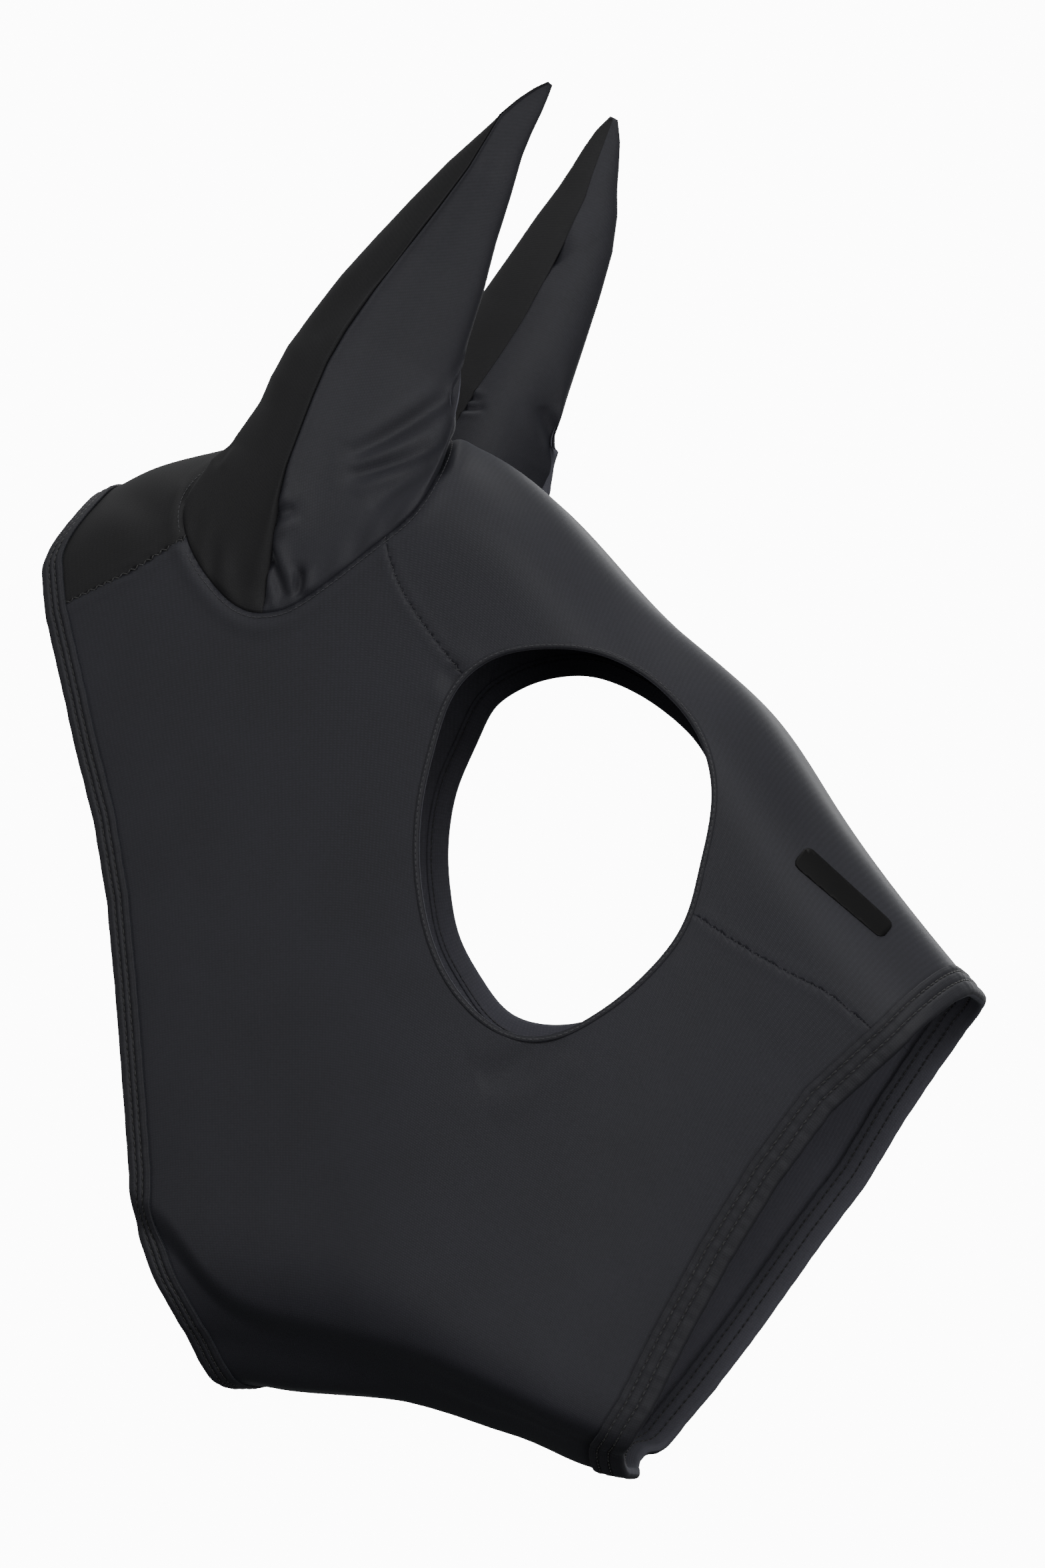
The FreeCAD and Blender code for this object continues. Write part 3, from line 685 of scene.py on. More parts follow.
def side_zone(side):
    """Outline, in the side view, of the cheek panel: below the crown, brow and nose seams."""
    crown, brow, nose = CROWN_SEAM[side], BROW_SEAM[side], NOSE_SEAM[side]
    first = np.array(crown[0]) - 3 * (np.array(crown[1]) - np.array(crown[0]))
    last = np.array(nose[-1]) + 4 * (np.array(nose[-1]) - np.array(nose[-2]))
    middle = (60 + EAR_AHEAD[side], -35)
    eye = tuple(eye_line[side].mean(axis=0))
    return np.vstack([[first], open_curve(crown, 30), [middle], open_curve(brow, 30), [eye],
                      open_curve(nose, 40), [last], [(last[0] + 50, -600), (-200, -600)]])


ZONE = {side: side_zone(side) for side in (RIGHT, LEFT)}


def side_view(points):
    """Places as they stand in the side view: x and z."""
    return points[:, [0, 2]]


def by_side(points, function):
    """One field on each side of the hood."""
    value = np.zeros(len(points))
    for side in (RIGHT, LEFT):
        mask = points[:, 1] * side >= 0
        value[mask] = function(points[mask], side)
    return value


def off_cheeks(points):
    """Above zero outside the cheek panels."""
    return by_side(points, lambda p, side: ring_field(side_view(p), ZONE[side]))


def off_ring(points, side):
    """Above zero outside an ear's ring."""
    return ring_field(ring_plane(points, side), ring_plane(ring_line[side], side))


def off_eyes(points, roll=0.6):
    """Above zero outside the eye holes and the roll of their hems."""
    return by_side(points, lambda p, side: ring_field(side_view(p), eye_line[side]) - roll)


# Ridge and valley of each sewn seam, in millimetres: the crown's is bulky, the others are pressed flat.
SEAM_RELIEF = ((CROWN_SEAM, 0.70, 1.15), (BROW_SEAM, 0.30, 0.45), (NOSE_SEAM, 0.25, 0.35))
# Depth of the valley round the ears' rings.
RING_DIP = 0.9
# Folds that the slack cloth takes on the hood: a line in the side view, half width and depth.
HOOD_FOLDS = {
    RIGHT: [([(104.5, 9.0), (107.5, 0), (109.5, -9), (110.4, -19)], 2.6, 2.2),
            ([(100.5, 8.0), (101.5, -2), (103, -12)], 4.0, -1.0),
            ([(17.4, -9.5), (13.3, -15.4)], 2.2, 1.2), ([(6.3, -17.7), (3.3, -26.0)], 2.4, 1.4),
            ([(112, -100), (117.2, -103), (121, -108)], 5.0, 1.1),
            ([(160, -244), (152, -250), (143, -257), (128, -264)], 6.0, 1.0),
            ([(-34, -18), (-20, -22), (-6, -34)], 7.0, 1.0)],
    LEFT: [([(120, 8.0), (123.5, -4), (126, -17)], 2.6, 1.8),
           ([(34, -9.5), (29, -17)], 2.2, 1.2), ([(140, -226), (128, -236), (112, -246)], 6.0, 1.0)],
}


def fold_height(view, folds):
    """Valleys along the folds' lines, each with a soft ridge at its sides, fading towards its ends."""
    height = np.zeros(len(view))
    for line, width, depth in folds:
        line = open_curve(line, 24) if len(line) > 2 else evenly(np.array(line, float), 8)
        gap, share = nearest(view, line)
        fade = np.sqrt(np.clip(4 * share * (1 - share), 0.0, 1)) * 0.85 + 0.15
        ridges = 0.35 * np.exp(-((gap - 2 * width) / width) ** 2)
        height += depth * fade * (ridges - np.exp(-(gap / width) ** 2))
    return height


def seam_height(points):
    """The sewn seams, a narrow valley between two soft ridges, and the folds."""
    def one_side(p, side):
        view = side_view(p)
        height = fold_height(view, HOOD_FOLDS[side]) * ease(8, 26, np.abs(p[:, 1]))
        height -= 0.45 * np.exp(-((p[:, 0] - CROWN_FRONT) / 1.2) ** 2) * ease(-14, -2, p[:, 2])
        for seam, ridge, valley in SEAM_RELIEF:
            gap = nearest(view, open_curve(seam[side], 30))[0]
            height += ridge * np.exp(-(gap / 3.4) ** 2) - valley * np.exp(-(gap / 1.1) ** 2)
        gap = off_ring(p, side)
        return height - RING_DIP * np.exp(-(gap / 1.6) ** 2) + 0.5 * np.exp(-((gap - 4.5) / 2.5) ** 2)
    return by_side(points, one_side)


whole = grid_cloth(hood, hood_normal, np.stack(np.meshgrid(column_run, row_run), 2), True)
body_cloth = whole.trimmed(lambda p: by_side(p, off_ring)).trimmed(off_eyes).raised(seam_height)
upper = body_cloth.trimmed(off_cheeks)
lower = body_cloth.trimmed(lambda p: -off_cheeks(p))
left_lower = lower.trimmed(lambda p: p[:, 1])
left_lower.flat[left_lower.flat[:, 0] > 0] -= (GIRTH, 0)
# Thickness of the hood's cloth.
CLOTH = 1.1
crown_panel = cloth_piece("crown_cloth", upper.trimmed(lambda p: CROWN_FRONT - p[:, 0]), BLACK_KNIT, CLOTH)
front_panel = cloth_piece("face_cloth", upper.trimmed(lambda p: p[:, 0] - CROWN_FRONT), CHARCOAL_KNIT, CLOTH)
right_panel = cloth_piece("right_cheek_cloth", lower.trimmed(lambda p: -p[:, 1]), CHARCOAL_KNIT, CLOTH)
left_panel = cloth_piece("left_cheek_cloth", left_lower, CHARCOAL_KNIT, CLOTH)


# ---------------------------------------------------------------- thread
# Half the length of a stitch that shows.
HALF_STITCH = 0.8


def one_stitch(radius=0.30, dip=0.3, end_length=0.5, end_size=0.45):
    """A single stitch: a short plump thread along X whose ends dip into the cloth."""
    bpy.ops.object.select_all(action="DESELECT")
    bpy.ops.mesh.primitive_cylinder_add(vertices=6, radius=radius, depth=2 * HALF_STITCH,
                                        rotation=(0, math.pi / 2, 0))
    pattern = bpy.context.object
    bpy.ops.object.transform_apply(location=False, rotation=True, scale=True)
    for end in (-1, 1):
        for part in (pattern.data.polygons, pattern.data.edges, pattern.data.vertices):
            part.foreach_set("select", [False] * len(part))
        for face in pattern.data.polygons:
            face.select = face.normal.x * end > 0.9
        bpy.ops.object.mode_set(mode="EDIT")
        bpy.ops.mesh.select_mode(type="FACE")
        bpy.ops.mesh.extrude_region_move(TRANSFORM_OT_translate={"value": (end_length * end, 0, -dip)})
        bpy.ops.transform.resize(value=(end_size, end_size, end_size))
        bpy.ops.object.mode_set(mode="OBJECT")
    points = np.array([vertex.co[:] for vertex in pattern.data.vertices])
    # Extruded faces come in no fixed order, so points and faces are sorted by place.
    order = np.lexsort(points.round(4).T)
    rank = np.argsort(order)
    faces = []
    for face in pattern.data.polygons:
        corners = rank[list(face.vertices)].tolist()
        first = corners.index(min(corners))
        faces.append(tuple(corners[first:] + corners[:first]))
    bpy.data.objects.remove(pattern)
    return points[order], sorted(faces)


STITCH_POINTS, STITCH_FACES = one_stitch()


def stitches(name, lines, pitch=3.0, lift=0.25, swing=0.0, length=1.0, width=1.0, thread=BLACK_THREAD):
    """Rows of stitches along lines of places and normals; swing turns every other one, in degrees."""
    points, faces = [], []
    for places, normals in lines:
        run = distance_along(places)
        count = max(2, int(run[-1] / pitch))
        for index in range(count):
            at = (index + 0.5) * run[-1] / count
            place, up = place_along(places, run, at), place_along(normals, run, at)
            ahead = place_along(places, run, at + HALF_STITCH) - place_along(places, run, at - HALF_STITCH)
            up /= np.linalg.norm(up)
            ahead -= up * (ahead @ up)
            ahead /= np.linalg.norm(ahead)
            across = np.cross(up, ahead)
            turn = math.radians(swing if index % 2 else -swing)
            along = math.cos(turn) * ahead + math.sin(turn) * across
            axes = np.array([along * length, np.cross(up, along) * width, up * width])
            start = len(points) * len(STITCH_POINTS)
            points.append(place + lift * up + STITCH_POINTS @ axes)
            faces += [tuple(i + start for i in face) for face in STITCH_FACES]
    return make_piece(name, np.vstack(points), faces, thread)


# ---------------------------------------------------------------- hems
# Rows of the hood's surface that a hem can lie on; lift below which a strip shows its reverse.
HEM_REACH = 24
INSIDE_LIFT = -0.8


def hem_point(edge, inward, lift, where):
    """A place by the neck or muzzle edge: millimetres inward along the cloth, lift off it, share round."""
    rows = hood if edge == "neck" else hood[::-1]
    slopes = hood_normal if edge == "neck" else hood_normal[::-1]
    rows, slopes = rows[:HEM_REACH], slopes[:HEM_REACH]
    column = (where * COLUMNS) % COLUMNS
    low = np.floor(column).astype(int) % COLUMNS
    high = (low + 1) % COLUMNS
    share = (column - np.floor(column))[:, None]
    line = rows[:, low] * (1 - share) + rows[:, high] * share
    slope = slopes[:, low] * (1 - share) + slopes[:, high] * share
    steps = np.linalg.norm(np.diff(line, axis=0), axis=2)
    run = np.concatenate([np.zeros((1, len(where))), np.cumsum(steps, axis=0)])
    place, normal = np.zeros((len(where), 3)), np.zeros((len(where), 3))
    for k in range(len(where)):
        place[k] = place_along(line[:, k], run[:, k], inward[k])
        normal[k] = place_along(slope[:, k], run[:, k], inward[k])
        if inward[k] < 0:
            place[k] += inward[k] * (line[1, k] - line[0, k]) / run[1, k]
    normal /= np.linalg.norm(normal, axis=1, keepdims=True)
    return place + lift[:, None] * normal, normal


def wobble(where, waves, seed):
    """A smooth closed irregular wave between about -1 and 1."""
    random = np.random.default_rng(seed)
    value = np.zeros(len(where))
    for wave in waves:
        value += np.cos(2 * math.pi * (wave * where + random.random())) * (0.6 + 0.4 * random.random())
    return value / math.sqrt(len(waves))


def show_reverse(piece, profile, count):
    """The side of a folded strip that lies inside the hood is the knit's reverse, whose paler colour is
    partly painted light.
    """
    piece.data.materials.append(REVERSE_KNIT_PAINTED_LIGHT)
    ahead = profile[1:] + profile[:1]
    deep = [min(here[1], there[1]) < INSIDE_LIFT for here, there in zip(profile, ahead)]
    piece.data.polygons.foreach_set("material_index", np.tile(np.array(deep, np.int32), count))


def swept_strip(name, rings, flat, profile):
    """A closed strip of binding: one ring of points and of flat places for each point of its profile."""
    count, sides = len(rings[0]), len(profile)
    faces = [(i * sides + j, i * sides + (j + 1) % sides, (i + 1) % count * sides + (j + 1) % sides,
              (i + 1) % count * sides + j) for i in range(count) for j in range(sides)]
    strip = make_piece(name, np.stack(rings, 1).reshape(-1, 3), faces, BINDING_KNIT,
                       np.stack(flat, 1).reshape(-1, 2))
    show_reverse(strip, profile, count)
    welded_outward(strip)
    return strip


def swept_hem(name, edge, profile, count, pucker, seed):
    """A strip with this closed profile of (inward, lift) points, carried round an edge."""
    where = np.arange(count) / count
    puff = 1 + 0.07 * wobble(where, (23, 37, 61, 97, 143), seed)
    rings, flat = [], []
    run = 0.0
    for k, (inward, lift) in enumerate(profile):
        raised = lift * puff if lift > 0 else np.full(count, lift)
        shift = pucker * wobble(where, (31, 53, 83), seed + 1)
        place, _ = hem_point(edge, np.full(count, float(inward)) + shift, raised, where)
        rings.append(place)
        flat.append(np.stack([np.full(count, run), where * HEM_CUT], 1))
        run += math.dist(profile[k], profile[(k + 1) % len(profile)])
    return swept_strip(name, rings, flat, profile)


def hem_profile(width, rows):
    """A cloth folded round the edge: puffed between its rows of stitches, flat on the inside."""
    outer = []
    for inward in np.linspace(width, 0.8, 26):
        lift = 1.15 + 0.35 * ease(0, 2.5, inward) * ease(0, 2.0, width - inward)
        for row in rows:
            lift -= 0.75 * math.exp(-((inward - row) / 0.75) ** 2)
        outer.append((inward, lift))
    fold = [(0.1, 1.0), (-0.55, 0.4), (-0.95, -0.7), (-0.75, -2.0), (-0.2, -2.75)]
    inner = [(1.0, -3.1), (width - 0.4, -3.0), (width, -2.6), (width, -2.2), (1.0, -2.2), (0.4, -1.6),
             (0.4, -0.6), (1.0, 0.1)]
    return [(width, 0.05)] + outer + fold + inner


def elastic_profile(width):
    """A flat tape that lies inside the fold of a hem."""
    return [(width - 1.8, -1.2), (1.6, -1.2), (1.4, -1.6), (1.6, -2.05), (width - 1.8, -2.05)]


# Width of the hems, and how far in from the edge their rows of stitches run.
NECK_HEM, MUZZLE_HEM = 9.5, 13.0
NECK_ROWS, MUZZLE_ROWS = (3.4, 6.2), (5.2, 9.8)
# Length that the knit's pattern takes round a hem, and how unevenly a hem is folded.
HEM_CUT, HEM_PUCKER = 900, 0.10
neck_hem = swept_hem("neck_hem_binding", "neck", hem_profile(NECK_HEM, NECK_ROWS), 900, HEM_PUCKER, 5)
muzzle_hem = swept_hem("muzzle_hem_binding", "muzzle", hem_profile(MUZZLE_HEM, MUZZLE_ROWS), 700,
                       HEM_PUCKER, 9)
neck_elastic = swept_hem("neck_elastic_strip", "neck", elastic_profile(NECK_HEM), 420, 0, 5)
muzzle_elastic = swept_hem("muzzle_elastic_strip", "muzzle", elastic_profile(MUZZLE_HEM), 420, 0, 9)
# Lift of the thread on the outside of a hem and on its inside.
THREAD_OUTSIDE, THREAD_INSIDE = 0.75, -3.05


def hem_rows(edge, rows, count=1400):
    """Lines for the stitches, on the outside of the hem and again on its inside."""
    around = np.linspace(0, 1, count)
    lines = []
    for row in rows:
        lines.append(hem_point(edge, np.full(count, row), np.full(count, THREAD_OUTSIDE), around))
        place, normal = hem_point(edge, np.full(count, row), np.full(count, THREAD_INSIDE), around)
        lines.append((place, -normal))
    return lines


neck_thread = stitches("neck_hem_thread", hem_rows("neck", NECK_ROWS))
muzzle_thread = stitches("muzzle_hem_thread", hem_rows("muzzle", MUZZLE_ROWS))


# ---------------------------------------------------------------- eye hems
# Length that the knit's pattern takes round an eye hem.
EYE_HEM_CUT = 440


def eye_hem(side, name):
    """The cloth turned back round an eye hole: a rolled lip, then a flat band with one stitched row."""
    ring = eye_line[side]
    ahead = np.roll(ring, -1, axis=0) - np.roll(ring, 1, axis=0)
    away = np.stack([ahead[:, 1], -ahead[:, 0]], 1)
    away /= np.linalg.norm(away, axis=1, keepdims=True)
    if inside(ring[:1] + 2 * away[:1], ring)[0]:
        away = -away
    count = len(ring)
    where = np.arange(count) / count
    puff = 1 + 0.15 * wobble(where, (37, 53, 71, 89), 3 + side)
    profile = [(2.0, 0.02), (1.95, 0.3), (1.5, 0.5), (0.9, 0.56), (0.3, 0.5), (-0.15, 0.25), (-0.4, -0.2),
               (-0.45, -0.9), (-0.1, -1.6), (0.8, -2.0), (3.0, -2.1), (6.0, -2.1), (8.0, -2.0), (8.6, -1.7),
               (8.4, -1.25), (4.0, -1.22), (1.3, -1.2), (0.9, -0.6), (1.3, 0.0)]
    rings, flat = [], []
    for outward_by, lift in profile:
        spot, slope = on_side(ring + outward_by * away, side)
        height = lift * puff if lift > 0.2 else np.full(count, lift)
        rings.append(spot + height[:, None] * slope)
        flat.append(np.stack([np.full(count, outward_by + 3 * (lift < 0)), where * EYE_HEM_CUT], 1))
    band = swept_strip(name + "_eye_hem_band", rings, flat, profile)
    whole_ring, whole_away = np.vstack([ring, ring[:1]]), np.vstack([away, away[:1]])
    spot, slope = on_side(whole_ring + 0.9 * whole_away, side)
    inner, turn = on_side(whole_ring + 6.6 * whole_away, side)
    thread = stitches(name + "_eye_hem_thread", [(spot + 0.35 * slope, slope), (inner - 2.2 * turn, -turn)],
                      pitch=2.4, length=0.85, width=0.7, thread=CHARCOAL_THREAD)
    return band, thread


# ---------------------------------------------------------------- ears
# Directions along an ear and ahead of it, in the side view.
EAR_ALONG = np.array([0.469, 0, 0.883])
EAR_AHEAD_AXIS = np.array([0.883, 0, -0.469])
JOINTS = {joint["child"]: joint for joint in frame["joints"]}
EAR_FOOT = np.array(JOINTS["right_ear"]["pos_m"]) * (1, 0, 1) / MM
# Height above the foot; how far the front, the back and the outer seam stand ahead of the ear's line.
EAR_SHAPE = {
    RIGHT: [(-70, 42, -44, 9), (-56, 42, -44, 5.6), (-40, 42, -43.5, 0.5), (-10, 40, -40.5, -6.6),
            (0, 39.5, -37.2, -8.6), (20, 38.6, -36.6, -11.2), (31, 38, -38.2, -12.6),
            (45, 37, -37.7, -13.8), (60, 32.2, -34.6, -13.2), (80, 29, -30.2, -10.6),
            (100, 26, -24.4, -6.9), (120, 21.8, -17.8, -2.9), (140, 18.9, -10.5, 0.6), (155, 16.2, -3.9, 1.6),
            (165, 15.6, 0.6, 2.2), (174, 15.6, 5.4, 6.0), (181, 15.2, 9.6, 10.0), (185.5, 14.6, 13.0, 13.6)],
    LEFT: [(-70, 40, -44, 4), (-40, 39, -43, 2), (-10, 38, -38, -2), (20, 39.6, -35, -4),
           (45, 38.9, -32, -5), (60, 35.8, -30, -6), (80, 31.8, -25.5, -6), (100, 28.0, -21.5, -6),
           (120, 24, -19.4, -6.5), (140, 19.2, -17.5, -8), (155, 13.4, -15.3, -9.5), (165, 7.8, -14.5, -10.6),
           (175, 3.2, -14.0, -11.2), (184, -1.2, -13.0, -11.4), (192, -6.6, -10.4, -9.2)],
}
# Height; how far the ear's middle stands from the centre of the head; half its thickness.
EAR_DEPTH = [(-70, 44, 25), (-20, 45, 25), (20, 46.5, 23), (60, 49.5, 18.5), (100, 53.5, 13), (140, 58, 8.5),
             (165, 60.5, 5.5), (182, 62, 2.6), (192, 62.5, 0.8)]
# Folds of the ear sleeves, as those of the hood, in the side view from the ear's foot: those on the
# front panel's outer side, on its inner side and on the back panel's outer side.
OUTER_FOLDS = [([(57, 34), (40, 21), (18, 8)], 3.0, 1.9), ([(56, 15), (40, 6.5), (17, 0)], 2.8, 1.9),
               ([(50, 4), (37, -4), (27, -14)], 3.5, 1.2),
               ([(-16.5, -19.5), (-11, -15.5), (-4.5, -12.5)], 2.6, 1.9),
               ([(-16.8, -27), (-12.8, -38), (-9.6, -48.8)], 2.2, 2.8),
               ([(-2.3, -37), (-2.8, -43), (-3.8, -48)], 1.8, 3.0),
               ([(-12.7, -47.5), (-11.4, -51.5)], 1.0, 0.9)]
INNER_FOLDS = [([(42, 124), (54, 117), (61, 108)], 7.0, 3.2), ([(34, 105), (44, 98)], 4.0, 1.4),
               ([(19, 51), (25, 49.6), (33, 48.6)], 1.5, 1.6), ([(19, 46.4), (27, 45.2), (34, 45)], 1.5, 1.6),
               ([(56, 47), (60, 33), (64, 18)], 3.0, 2.2)]
BACK_FOLDS = [([(44, 94), (19, 76), (1.5, 57.6)], 4.5, 1.3), ([(-34, 18), (-40, 8)], 2.0, 1.0)]


def ear_foot(side):
    """The point that an ear's shape is measured from."""
    return EAR_FOOT + (EAR_AHEAD[side], 0, 0)


def ear_section(side, height, half, share):
    """A place on the ear's skin: front or back half, share from the outer seam round to the inner one."""
    shape = np.array(EAR_SHAPE[side])
    depth = np.array(EAR_DEPTH)
    front, back, seam = (np.interp(height, shape[:, 0], shape[:, k]) for k in (1, 2, 3))
    middle, thick = (np.interp(height, depth[:, 0], depth[:, k]) for k in (1, 2))
    edge = front if half > 0 else back
    turn = np.clip(share * 2, 0, 2)
    outer = turn <= 1
    theta = np.where(outer, turn, 2 - turn) * math.pi / 2
    sharp = np.where(outer, 1.55, 1.0)
    root = np.where(outer, seam, (front + back) / 2)
    ahead = root + (edge - root) * np.sin(theta) ** sharp
    out = thick * np.cos(theta) * np.where(outer, 1, -1)
    y = (middle + out) * side
    return (ear_foot(side) + height[:, None] * EAR_ALONG + ahead[:, None] * EAR_AHEAD_AXIS
            + y[:, None] * (0, 1, 0))


LEVELS, EAR_COLUMNS = 130, 110
# Height over which a sleeve eases from its ring to its own shape; cloth turned in below the ring.
RING_REACH = 62.0
SEAM_ALLOWANCE = 2.4


def ear_grid(side, half):
    """Half of an ear's skin, from its ring to its tip, from the outer seam round to the inner seam,
    and the edge of the allowance that is turned inside the hood below the ring."""
    ring = ring_line[side]
    rough, _ = on_hood(ear_ring(side)[[0, RING_TOP]])
    first = int(np.argmin(np.linalg.norm(ring - rough[0], axis=1)))
    top = int(np.argmin(np.linalg.norm(ring - rough[1], axis=1)))
    rolled = np.roll(ring, -first, axis=0)
    top = (top - first) % len(ring)
    arc = rolled[:top + 1] if half < 0 else np.vstack([rolled[top:], rolled[:1]])[::-1]
    arc = evenly(arc, EAR_COLUMNS)
    low = (arc - ear_foot(side)) @ EAR_ALONG
    share = np.linspace(0, 1, EAR_COLUMNS)
    tip = EAR_SHAPE[side][-1][0]
    base = ear_section(side, low, half, share)
    grid = np.zeros((LEVELS, EAR_COLUMNS, 3))
    for level in range(LEVELS):
        t = level / (LEVELS - 1)
        t = t * (1 + 0.6 * t) / 1.6
        height = low + t * (tip - low)
        reach = 1 - ease(0, 1, (height - low) / RING_REACH)
        grid[level] = ear_section(side, height, half, share) + reach[:, None] * (arc - base)
    slope = on_hood(arc)[1]
    for level, dip in enumerate((1.0, 0.45, 0.1)):
        grid[level] -= RING_DIP * dip * slope
    return grid, grid[0] - SEAM_ALLOWANCE * slope


def ear_folds(side, half, grid):
    """Soft gathers above the ring, and the longer folds of the slack sleeve, in millimetres."""
    level, share = np.meshgrid(np.linspace(0, 1, LEVELS), np.linspace(0, 1, EAR_COLUMNS), indexing="ij")
    random = np.random.default_rng(11 + side + 2 * half)
    height = np.zeros_like(level)
    for wave in (9, 13, 17, 22):
        height += np.cos(wave * math.pi * share + 6.28 * random.random()) * (0.5 + random.random())
    gathered = np.exp(-(share / 0.33) ** 2) + 0.4 * np.exp(-((share - 0.5) / 0.3) ** 2)
    height *= 0.42 * gathered * np.exp(-((level - 0.045) / 0.05) ** 2)
    crest = 0.7 * np.exp(-((share - 0.035) / 0.022) ** 2) - 1.3 * np.exp(-(share / 0.012) ** 2)
    crest *= ease(0, 0.04, level)
    hollow = -1.2 * np.exp(-((share - 0.13) / 0.08) ** 2)
    hollow *= ease(0.05, 0.3, level) * (1 - ease(0.75, 1, level))
    view = side_view(grid.reshape(-1, 3)) - EAR_FOOT[[0, 2]] - (EAR_AHEAD[side], 0)
    outer = fold_height(view, OUTER_FOLDS if half > 0 else BACK_FOLDS).reshape(level.shape)
    inner = fold_height(view, INNER_FOLDS if half > 0 else []).reshape(level.shape)
    folds = outer * (1 - ease(0.42, 0.58, share)) + inner * ease(0.42, 0.58, share)
    return (height + crest + hollow + folds) * ease(0, 0.02, level)


# Width and length of half a sleeve as cut, its distance from the centre of the head, its thickness.
EAR_CUT = (150, 230)
EAR_MIDDLE = 48
EAR_CLOTH = 1.0


def ear(side, name):
    """The front and back halves of an ear sleeve."""
    pieces = []
    for half, part, material in ((1, "front", CHARCOAL_KNIT), (-1, "back", BLACK_KNIT)):
        grid, turned_in = ear_grid(side, half)
        normal = surface_normals(grid, closed=False)
        foot = ear_foot(side)
        centre = foot + ((grid - foot) @ EAR_ALONG)[..., None] * EAR_ALONG + (0, EAR_MIDDLE * side, 0)
        if ((grid - centre) * normal).sum(2).mean() < 0:
            normal = -normal
        grid = np.concatenate([[turned_in], grid + ear_folds(side, half, grid)[..., None] * normal])
        normal = np.concatenate([normal[:1], normal])
        run, rise = np.linspace(0, EAR_CUT[0], EAR_COLUMNS), np.linspace(0, EAR_CUT[1], LEVELS + 1)
        flat = np.stack(np.meshgrid(run, rise), 2)
        cloth = grid_cloth(grid, normal, flat, False)
        if half * side < 0:
            cloth.faces = [tuple(reversed(face)) for face in cloth.faces]
        pieces.append(cloth_piece(name + "_ear_" + part + "_cloth", cloth, material, EAR_CLOTH))
    return pieces


# How far outside its ring the stitches round a sleeve run.
RING_STITCH = 1.9
eye_hems, ears, ring_threads = {}, {}, {}
for name, side in SIDES.items():
    eye_hems[name] = eye_hem(side, name)
    ears[name] = ear(side, name)
    closed_ring = np.vstack([ring_line[side], ring_line[side][:1]])
    closed_normal = np.vstack([ring_normal[side], ring_normal[side][:1]])
    line = beside(closed_ring, closed_normal, RING_STITCH * -side)
    ring_threads[name] = stitches(name + "_ear_ring_thread", [line], pitch=2.2, lift=0.0, length=0.75,
                                  width=0.6, thread=CHARCOAL_THREAD)


def seam_stitches(name, seam, pitch, lift, size, thread):
    """The cover stitch over a seam: every other one leans the other way."""
    rows = [on_side(open_curve(seam[side], 60), side) for side in (RIGHT, LEFT)]
    return stitches(name, rows, pitch, lift, swing=38, length=size, width=size, thread=thread)


crown_thread = seam_stitches("crown_seam_thread", CROWN_SEAM, 1.9, 0.2, 0.95, BLACK_THREAD)
brow_thread = seam_stitches("brow_seam_thread", BROW_SEAM, 1.7, -0.05, 0.55, CHARCOAL_THREAD)
nose_thread = seam_stitches("nose_seam_thread", NOSE_SEAM, 1.7, -0.05, 0.55, CHARCOAL_THREAD)


# ---------------------------------------------------------------- label and jaw tape
# A field's value where a piece has no cloth; how far off its plane a patch still lies on the hood.
NOWHERE, PATCH_DEPTH = -50, 25


def on_patch(centre, along, half_length, half_height, corner):
    """Field of a rounded rectangle lying on the hood, above zero inside it."""
    normal = on_hood([centre])[1][0]
    along = np.array(along, float)
    along -= normal * (along @ normal)
    along /= np.linalg.norm(along)
    across = np.cross(normal, along)

    def field(points):
        offset = points - centre
        u, v = np.abs(offset @ along) - half_length + corner, np.abs(offset @ across) - half_height + corner
        outside = np.hypot(np.maximum(u, 0), np.maximum(v, 0)) + np.minimum(np.maximum(u, v), 0) - corner
        return np.where(np.abs(offset @ normal) < PATCH_DEPTH, -outside, NOWHERE)
    return field


def laid(cloth, lift, name, material, thickness):
    """A patch or a tape on the hood, this far off its face; below zero it lies inside."""
    return cloth_piece(name, cloth.raised(lambda p: np.full(len(p), lift)), material, thickness)


label_low, label_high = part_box("nose_label")
label_centre = on_side([((label_low.x + label_high.x) / 2 / MM, (label_low.z + label_high.z) / 2 / MM)],
                       RIGHT)[0][0]
label_patch = on_patch(label_centre, (0.85, 0, -0.52), half_length=23.0, half_height=5.5, corner=3.0)
label = laid(whole.trimmed(label_patch), 0.35, "nose_label_blank", SATIN_TRANSFER, 0.5)
# The tape runs along the jaw, this far to each side of its seam, below this height.
TAPE_HALF, TAPE_TOP = 3.5, -150
tape_cloth = whole.trimmed(lambda p: np.where(p[:, 2] < TAPE_TOP, TAPE_HALF - np.abs(p[:, 1]), NOWHERE))
tape_cloth.flat[tape_cloth.flat[:, 0] < 0] += (GIRTH, 0)
tape = laid(tape_cloth, -CLOTH, "jaw_tape", BINDING_KNIT, 0.6)


# ---------------------------------------------------------------- what each piece replaces and is attached to
# Height above its ring and length for an ear sleeve's bend; no bend is made with them.
BEND_START, BEND_LENGTH = 1.0, 45


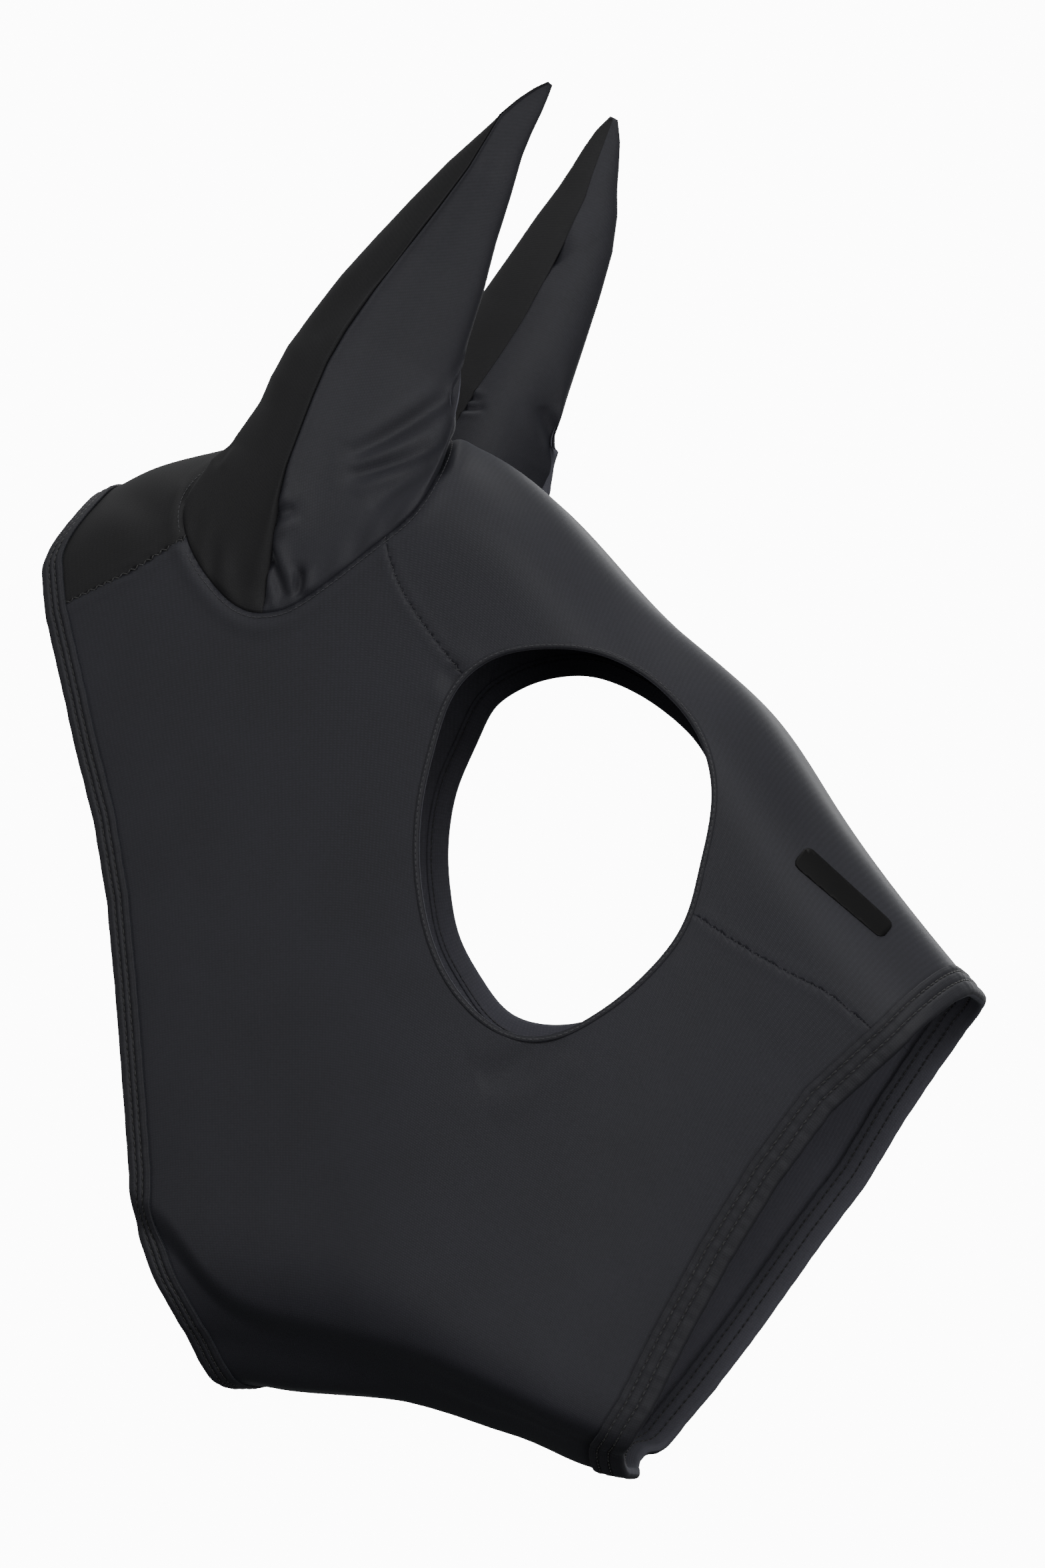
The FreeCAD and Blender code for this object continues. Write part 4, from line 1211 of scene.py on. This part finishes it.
def settle(piece, node, body="hood"):
    """Attaches a hood piece to the hood's body and leaves an ear piece in place; hides the CAD node it
    replaces, if any.
    """
    if body == "hood":
        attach(piece, "hood")
    else:
        side = SIDES[body.split("_")[0]]
        up = ring_normal[side].mean(axis=0)
        up /= np.linalg.norm(up)
        middle = ring_line[side].mean(axis=0) * MM
        start = ((ring_line[side] @ up).max() + BEND_START) * up * MM
        start = middle + up * ((start - middle) @ up)
        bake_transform(piece)
    if node:
        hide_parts(node)


for piece, node, slot in (
        (crown_panel, "crown_panel", "crown_cloth"), (front_panel, "front_panel", "face_cloth"),
        (right_panel, "right_side_panel", "side_cloth"), (left_panel, "left_side_panel", "side_cloth"),
        (neck_hem, "neck_binding", "hem_cloth"), (muzzle_hem, "muzzle_binding", "hem_cloth"),
        (neck_elastic, "neck_elastic", "elastic"), (muzzle_elastic, "muzzle_elastic", "elastic"),
        (neck_thread, "neck_stitching", "thread"), (muzzle_thread, "muzzle_stitching", "thread"),
        (crown_thread, "crown_seam_stitching", "thread"), (brow_thread, "brow_seam_stitching", "thread"),
        (nose_thread, "nose_seam_stitching", "thread"), (label, "nose_label", "label"),
        (tape, "jaw_seam_tape", "hem_cloth")):
    settle(piece, node)
for name in SIDES:
    band, thread = eye_hems[name]
    front, back = ears[name]
    settle(band, name + "_eye_hem")
    settle(thread, None)
    settle(ring_threads[name], None)
    settle(front, name + "_ear_front_panel", name + "_ear")
    settle(back, name + "_ear_back_panel", name + "_ear")


def spread(piece):
    """Width and length of a piece laid out on the flat cloth, in millimetres."""
    places = np.zeros(len(piece.data.loops) * 2, np.float32)
    piece.data.uv_layers["cloth"].data.foreach_get("uv", places)
    return np.ptp(places.reshape(-1, 2), axis=0) / MM


# Width and length of the hood's panels and the ear sleeves laid out flat, worked out and not kept.
for panel, riders in ((crown_panel, [crown_thread]), (front_panel, [brow_thread, nose_thread, label]),
                      (right_panel, [tape]), (left_panel, [])):
    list(spread(panel))
for name, side in SIDES.items():
    band, thread = eye_hems[name]
    for piece in ears[name]:
        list(spread(piece))
